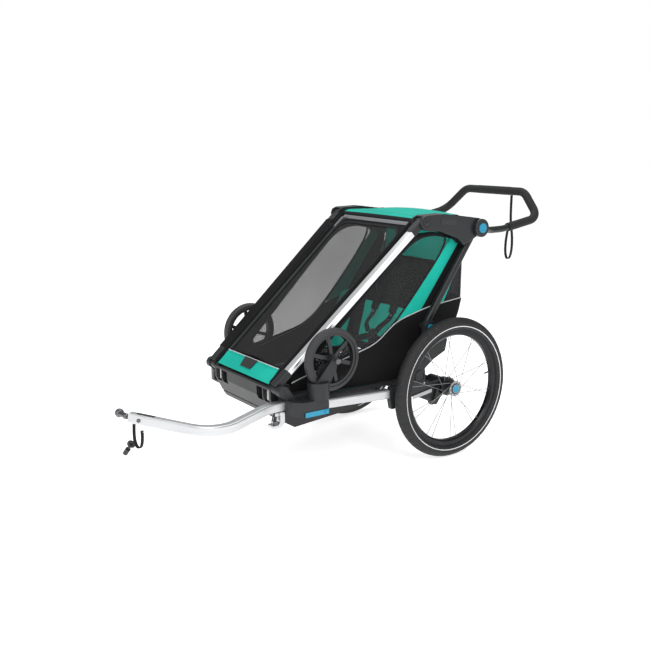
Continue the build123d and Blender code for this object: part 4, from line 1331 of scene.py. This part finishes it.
# %% Blow up a pad
def pad_block(name, corners, finish):
    """A bevelled block between eight corner points, the start of a pad."""
    faces = [(0, 3, 2, 1), (4, 5, 6, 7), (0, 1, 5, 4), (1, 2, 6, 5), (2, 3, 7, 6), (3, 0, 4, 7)]
    block = new_piece(name, corners, [], faces, finish)
    tidy(block)
    rounder = block.modifiers.new("round", "BEVEL")
    rounder.width = 0.006
    rounder.segments = 3
    return apply_modifiers(block)


def blow_up(pad, voxel=0.006, pressure=4.0, cap=0.007):
    """Remeshes the pad evenly and lets air pressure swell its cloth, up to a cap."""
    remesh = pad.modifiers.new("even", "REMESH")
    remesh.mode = "VOXEL"
    remesh.voxel_size = voxel
    apply_modifiers(pad)
    before = [vertex.co.copy() for vertex in pad.data.vertices]
    swell = pad.modifiers.new("swell", "CLOTH")
    swell.settings.use_pressure = True
    swell.settings.uniform_pressure_force = pressure
    swell.settings.effector_weights.gravity = 0
    for step in range(1, 21):
        bpy.context.scene.frame_set(step)
    apply_modifiers(pad)
    bpy.context.scene.frame_set(1)
    for vertex, start in zip(pad.data.vertices, before):
        moved = vertex.co - start
        if moved.length > cap:
            vertex.co = start + moved * (cap / moved.length)
    return pad


def sew_channel(pad, distance, depth=0.004, width=0.009):
    """Presses a sewn line into a pad, where a rule of place gives the distance from it."""
    for vertex in pad.data.vertices:
        away = distance(vertex.co)
        if away < width:
            vertex.co -= vertex.normal * depth * (1 - (away / width)) ** 1.5


def finish_pad(pad):
    smooth = pad.modifiers.new("smooth", "SUBSURF")
    smooth.levels = 1
    smooth.render_levels = 1
    apply_modifiers(pad)
    activate(pad)
    bpy.ops.object.shade_smooth()
    return pad


BACK_RUN = Vector((0, 100, 380)).normalized()
BACK_FACE = Vector((0, -380, 100)).normalized()


def back_at(x, up, off):
    """A point on the seat back: across, up the lean from its foot, and off its front face."""
    place = Vector((x, -98, 320)) + BACK_RUN * up + BACK_FACE * off
    return at(*place)


def slab(x0, x1, y0, y1, z0, z1):
    return [at(x, y, z) for z in (z0, z1) for x, y in ((x0, y0), (x1, y0), (x1, y1), (x0, y1))]


seat = blow_up(pad_block("seat_cushion", slab(-174, 174, -250, -60, 271, 303), SEAT_CLOTH), 0.007)
for x in (-0.062, 0.062):
    sew_channel(seat, lambda p, x=x: abs(p.x - x))
finish_pad(seat)
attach(seat, "chassis")
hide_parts("seat_base")
print("seat cushion", len(seat.data.polygons), "faces")

# %% Seat back with its channels
corners = [
    back_at(x, up, off)
    for up in (6, 388)
    for x, off in ((-186, -4), (186, -4), (186, -21), (-186, -21))
]
back = blow_up(pad_block("back_cushion", corners, SEAT_CLOTH), 0.007, cap=0.004)
for x in (-0.125, -0.02, 0.02, 0.125):
    sew_channel(back, lambda p, x=x: abs(p.x - x))
for up in (150, 275):
    line = back_at(0, up, 0)
    sew_channel(back, lambda p, line=line: abs((p - line).dot(BACK_RUN)))
finish_pad(back)
fold_down(back)
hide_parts("seat_back")
print("back cushion", len(back.data.polygons), "faces")

# %% Green side wings
def make_wing():
    """A pad that stands between the seat and the cloth, higher at the back."""
    lowers = [(-262, 318), (-108, 318), (-34, 560), (-120, 540)]
    corners = [at(x, y, z) for x in (187, 199) for y, z in lowers]
    # The wings take the glowing lining finish: painted light.
    wing = pad_block("side_wing", corners, GREEN_LINING)
    tidy(wing)
    return blow_up(wing, 0.006, cap=0.005)


wing = make_wing()
for z in (0.39, 0.46):
    sew_channel(wing, lambda p, z=z: abs(p.z - z), 0.002)
for piece in side_pair(wing):
    finish_pad(piece)
    fold_down(piece)
print("two side wings")

# %% Green insert of the seat back
corners = [
    back_at(x, up, off)
    for up in (30, 196)
    for x, off in ((-128, 10), (128, 10), (128, -6), (-128, -6))
]
# The insert takes the glowing lining finish: painted light.
insert = blow_up(pad_block("back_insert", corners, GREEN_LINING), 0.006, cap=0.004)
for x in (-0.045, 0.045):
    sew_channel(insert, lambda p, x=x: abs(p.x - x), 0.003)
finish_pad(insert)
fold_down(insert)
print("seat back insert", len(insert.data.polygons), "faces")

# %% [markdown]
# ## Harness
# Flat webbing is modelled directly, because a remesh would swallow it. Two padded
# shoulder straps come down the back to a chest-high buckle, two lap straps come in from
# the sides, and one strap comes up from the seat between the legs.

# %% Straps and pads
BUCKLE = Vector((0, -121, 398))
harness_parts = []
for side, sign in SIDES.items():
    shoulder = [back_at(sign * 52, up, off) for up, off in ((350, 2), (290, 5), (220, 8), (150, 14))]
    shoulder += [at(sign * 44, -118, 440), at(sign * 20, -124, 412)]
    harness_parts.append(
        ribbon("shoulder_strap_" + side, rounded_line(shoulder), 0.024, 0.0018, BACK_FACE, WEBBING)
    )
    lap = [
        back_at(sign * 150, 36, 2),
        at(sign * 120, -104, 362),
        at(sign * 70, -114, 378),
        at(sign * 22, -122, 392),
    ]
    harness_parts.append(
        ribbon("lap_strap_" + side, rounded_line(lap), 0.024, 0.0018, (0, -1, 0.3), WEBBING)
    )
    pad_line = rounded_line(
        [back_at(sign * 52, up, off) for up, off in ((340, 5), (290, 8), (220, 11), (165, 15))]
    )
    pad = ribbon("shoulder_pad_" + side, pad_line, 0.040, 0.008, BACK_FACE, SEAT_CLOTH, 0.4)
    harness_parts.append(pad)
    slider = back_at(sign * 51, 148, 17)
    harness_parts.append(
        stud(
            "strap_slider_" + side,
            slider,
            BACK_FACE,
            0.014,
            0.003,
            STEEL,
            [(0.003, 0.001), (0.003, -0.0015)],
            0.0006,
            4,
        )
    )
crotch = [at(0, -196, 314), at(0, -178, 326), at(0, -146, 350), at(0, -126, 378)]
harness_parts.append(ribbon("crotch_strap", rounded_line(crotch), 0.026, 0.0020, (0, -1, 0.5), WEBBING))
buckle = stud(
    "harness_buckle",
    at(*BUCKLE),
    (0, -0.96, 0.26),
    0.026,
    0.008,
    CASING_BLACK,
    [(0.003, 0.003), (0.006, 0.0), (0.002, -0.002)],
    0.0012,
    8,
)
harness_parts.append(buckle)
for piece in harness_parts:
    fold_down(piece)
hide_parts("harness")
print(len(harness_parts), "harness parts")

# %% [markdown]
# ## Small fittings
# Pivot caps, the axle caps of the small wheels, and the
# details of the hitch arm are all short turned or moulded bosses. One helper builds a
# cylinder up in steps, so each call is one fitting.

# %% Pivot caps and label plates
def cap_pair(name, x, y, z, radius, depth, finish, steps, body, bevel=0.0006):
    """A boss on each side that faces outward, on the given body."""
    made = []
    for side, sign in SIDES.items():
        boss = stud(
            name + "_" + side,
            at(sign * x, y, z),
            (sign, 0, 0),
            radius / 1000,
            depth / 1000,
            finish,
            steps,
            bevel,
            32,
        )
        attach(boss, body.replace("*", side))
        made.append(boss)
    return made


cheek_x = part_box("crown_casings")[1].x * 1000
nose_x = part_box("nose_pivot_pins")[1].x * 1000
fork_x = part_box("stroller_fork_left")[1].x * 1000
RING_STEPS = [(0.0025, 0.0), (0.0012, -0.0012), (0.004, 0.0), (0.0008, 0.0012)]
cap_pair("crown_cap", cheek_x + 0.2, -98, 828, 17.5, 2.6, CASING_BLACK, RING_STEPS, "upper_frame")
cap_pair("nose_cap", nose_x + 0.2, -659, 327, 12.5, 2.6, CASING_BLACK, RING_STEPS, "chassis")
cap_pair(
    "small_wheel_cap",
    fork_x + 0.2,
    -489,
    415,
    9.0,
    2.4,
    DARK_STEEL,
    [(0.002, 0.0008), (0.003, -0.0012)],
    "stroller_fork_*",
)
for side, sign in SIDES.items():
    rows = [
        [at(sign * (cheek_x + 0.3), y, z) for y, z in line]
        for line in ([(-36, 822), (34, 814)], [(-34, 843), (36, 835)])
    ]
    plate = loft(
        "blank_label_" + side,
        *rows,
        BADGE_GREY,
        columns=14,
        rows=6,
        belly=0.0002,
        out=(sign, 0, 0),
        thick=0.0012,
    )
    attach(plate, "upper_frame")
print("caps and labels placed")

# %% Hitch arm details
ARM_ALONG = Vector((-0.7227, -0.6785, 0.1327))
ARM_SIDE = Vector((0.6845, -0.729, 0))
ARM_UP = ARM_ALONG.cross(ARM_SIDE)


def on_arm(back, side, up):
    """A point near the arm's nose: back from its tip, to its side and up, in millimetres."""
    place = Vector((116, -1118, 300)) - ARM_ALONG * back + ARM_SIDE * side + ARM_UP * up
    return at(*place)


hitch_parts = [
    stud(
        "nose_screw",
        on_arm(34, 15.4, 0),
        ARM_SIDE,
        0.0062,
        0.003,
        DARK_STEEL,
        [(0.0016, 0.0006), (0.0012, -0.0014)],
        0.0004,
    ),
    ribbon(
        "nose_latch_pad",
        [on_arm(b, 0, 15.2) for b in (22, 34, 48, 62, 76)],
        0.013,
        0.0032,
        ARM_UP,
        BLACK_PLASTIC,
        0.4,
    ),
    bead(
        "strap_ring",
        [at(x, -1098, z) for x, z in ((145, 262), (145, 252), (169, 252), (169, 262), (145, 262))],
        0.0014,
        STEEL,
        8,
    ),
]
wire = [
    (220, -682, 250),
    (223, -688, 238),
    (224, -691, 224),
    (220, -693, 216),
    (214, -691, 224),
    (215, -687, 240),
]
pull_wire = bead("latch_pull_wire", rounded_line([at(*p) for p in wire]), 0.0012, STEEL, 8)
for piece in hitch_parts:
    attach(piece, "hitch")
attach(pull_wire, "hitch_latch")
print("hitch details placed")

# %% Straps as webbing along their lines
def webbing_cord(cord, line, width, node, body):
    """A flat strap along a cord's line and of its length, with the given width, in place of the cord
    and its node.
    """
    name = cord.name
    bpy.data.objects.remove(cord)
    strap = ribbon(name, line, width, width * 0.22, (1, 0, 0), WEBBING, 0.2, across=(0, 1, 0))
    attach(strap, body)
    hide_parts(node)
    return strap


webbing_cord(wrist_strap, wrist_line, 0.012, "wrist_strap", "handlebar")
webbing_cord(hitch_strap, hitch_line, 0.010, "hitch_strap", "hitch")

# %% Bounds of all shown pieces
low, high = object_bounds()
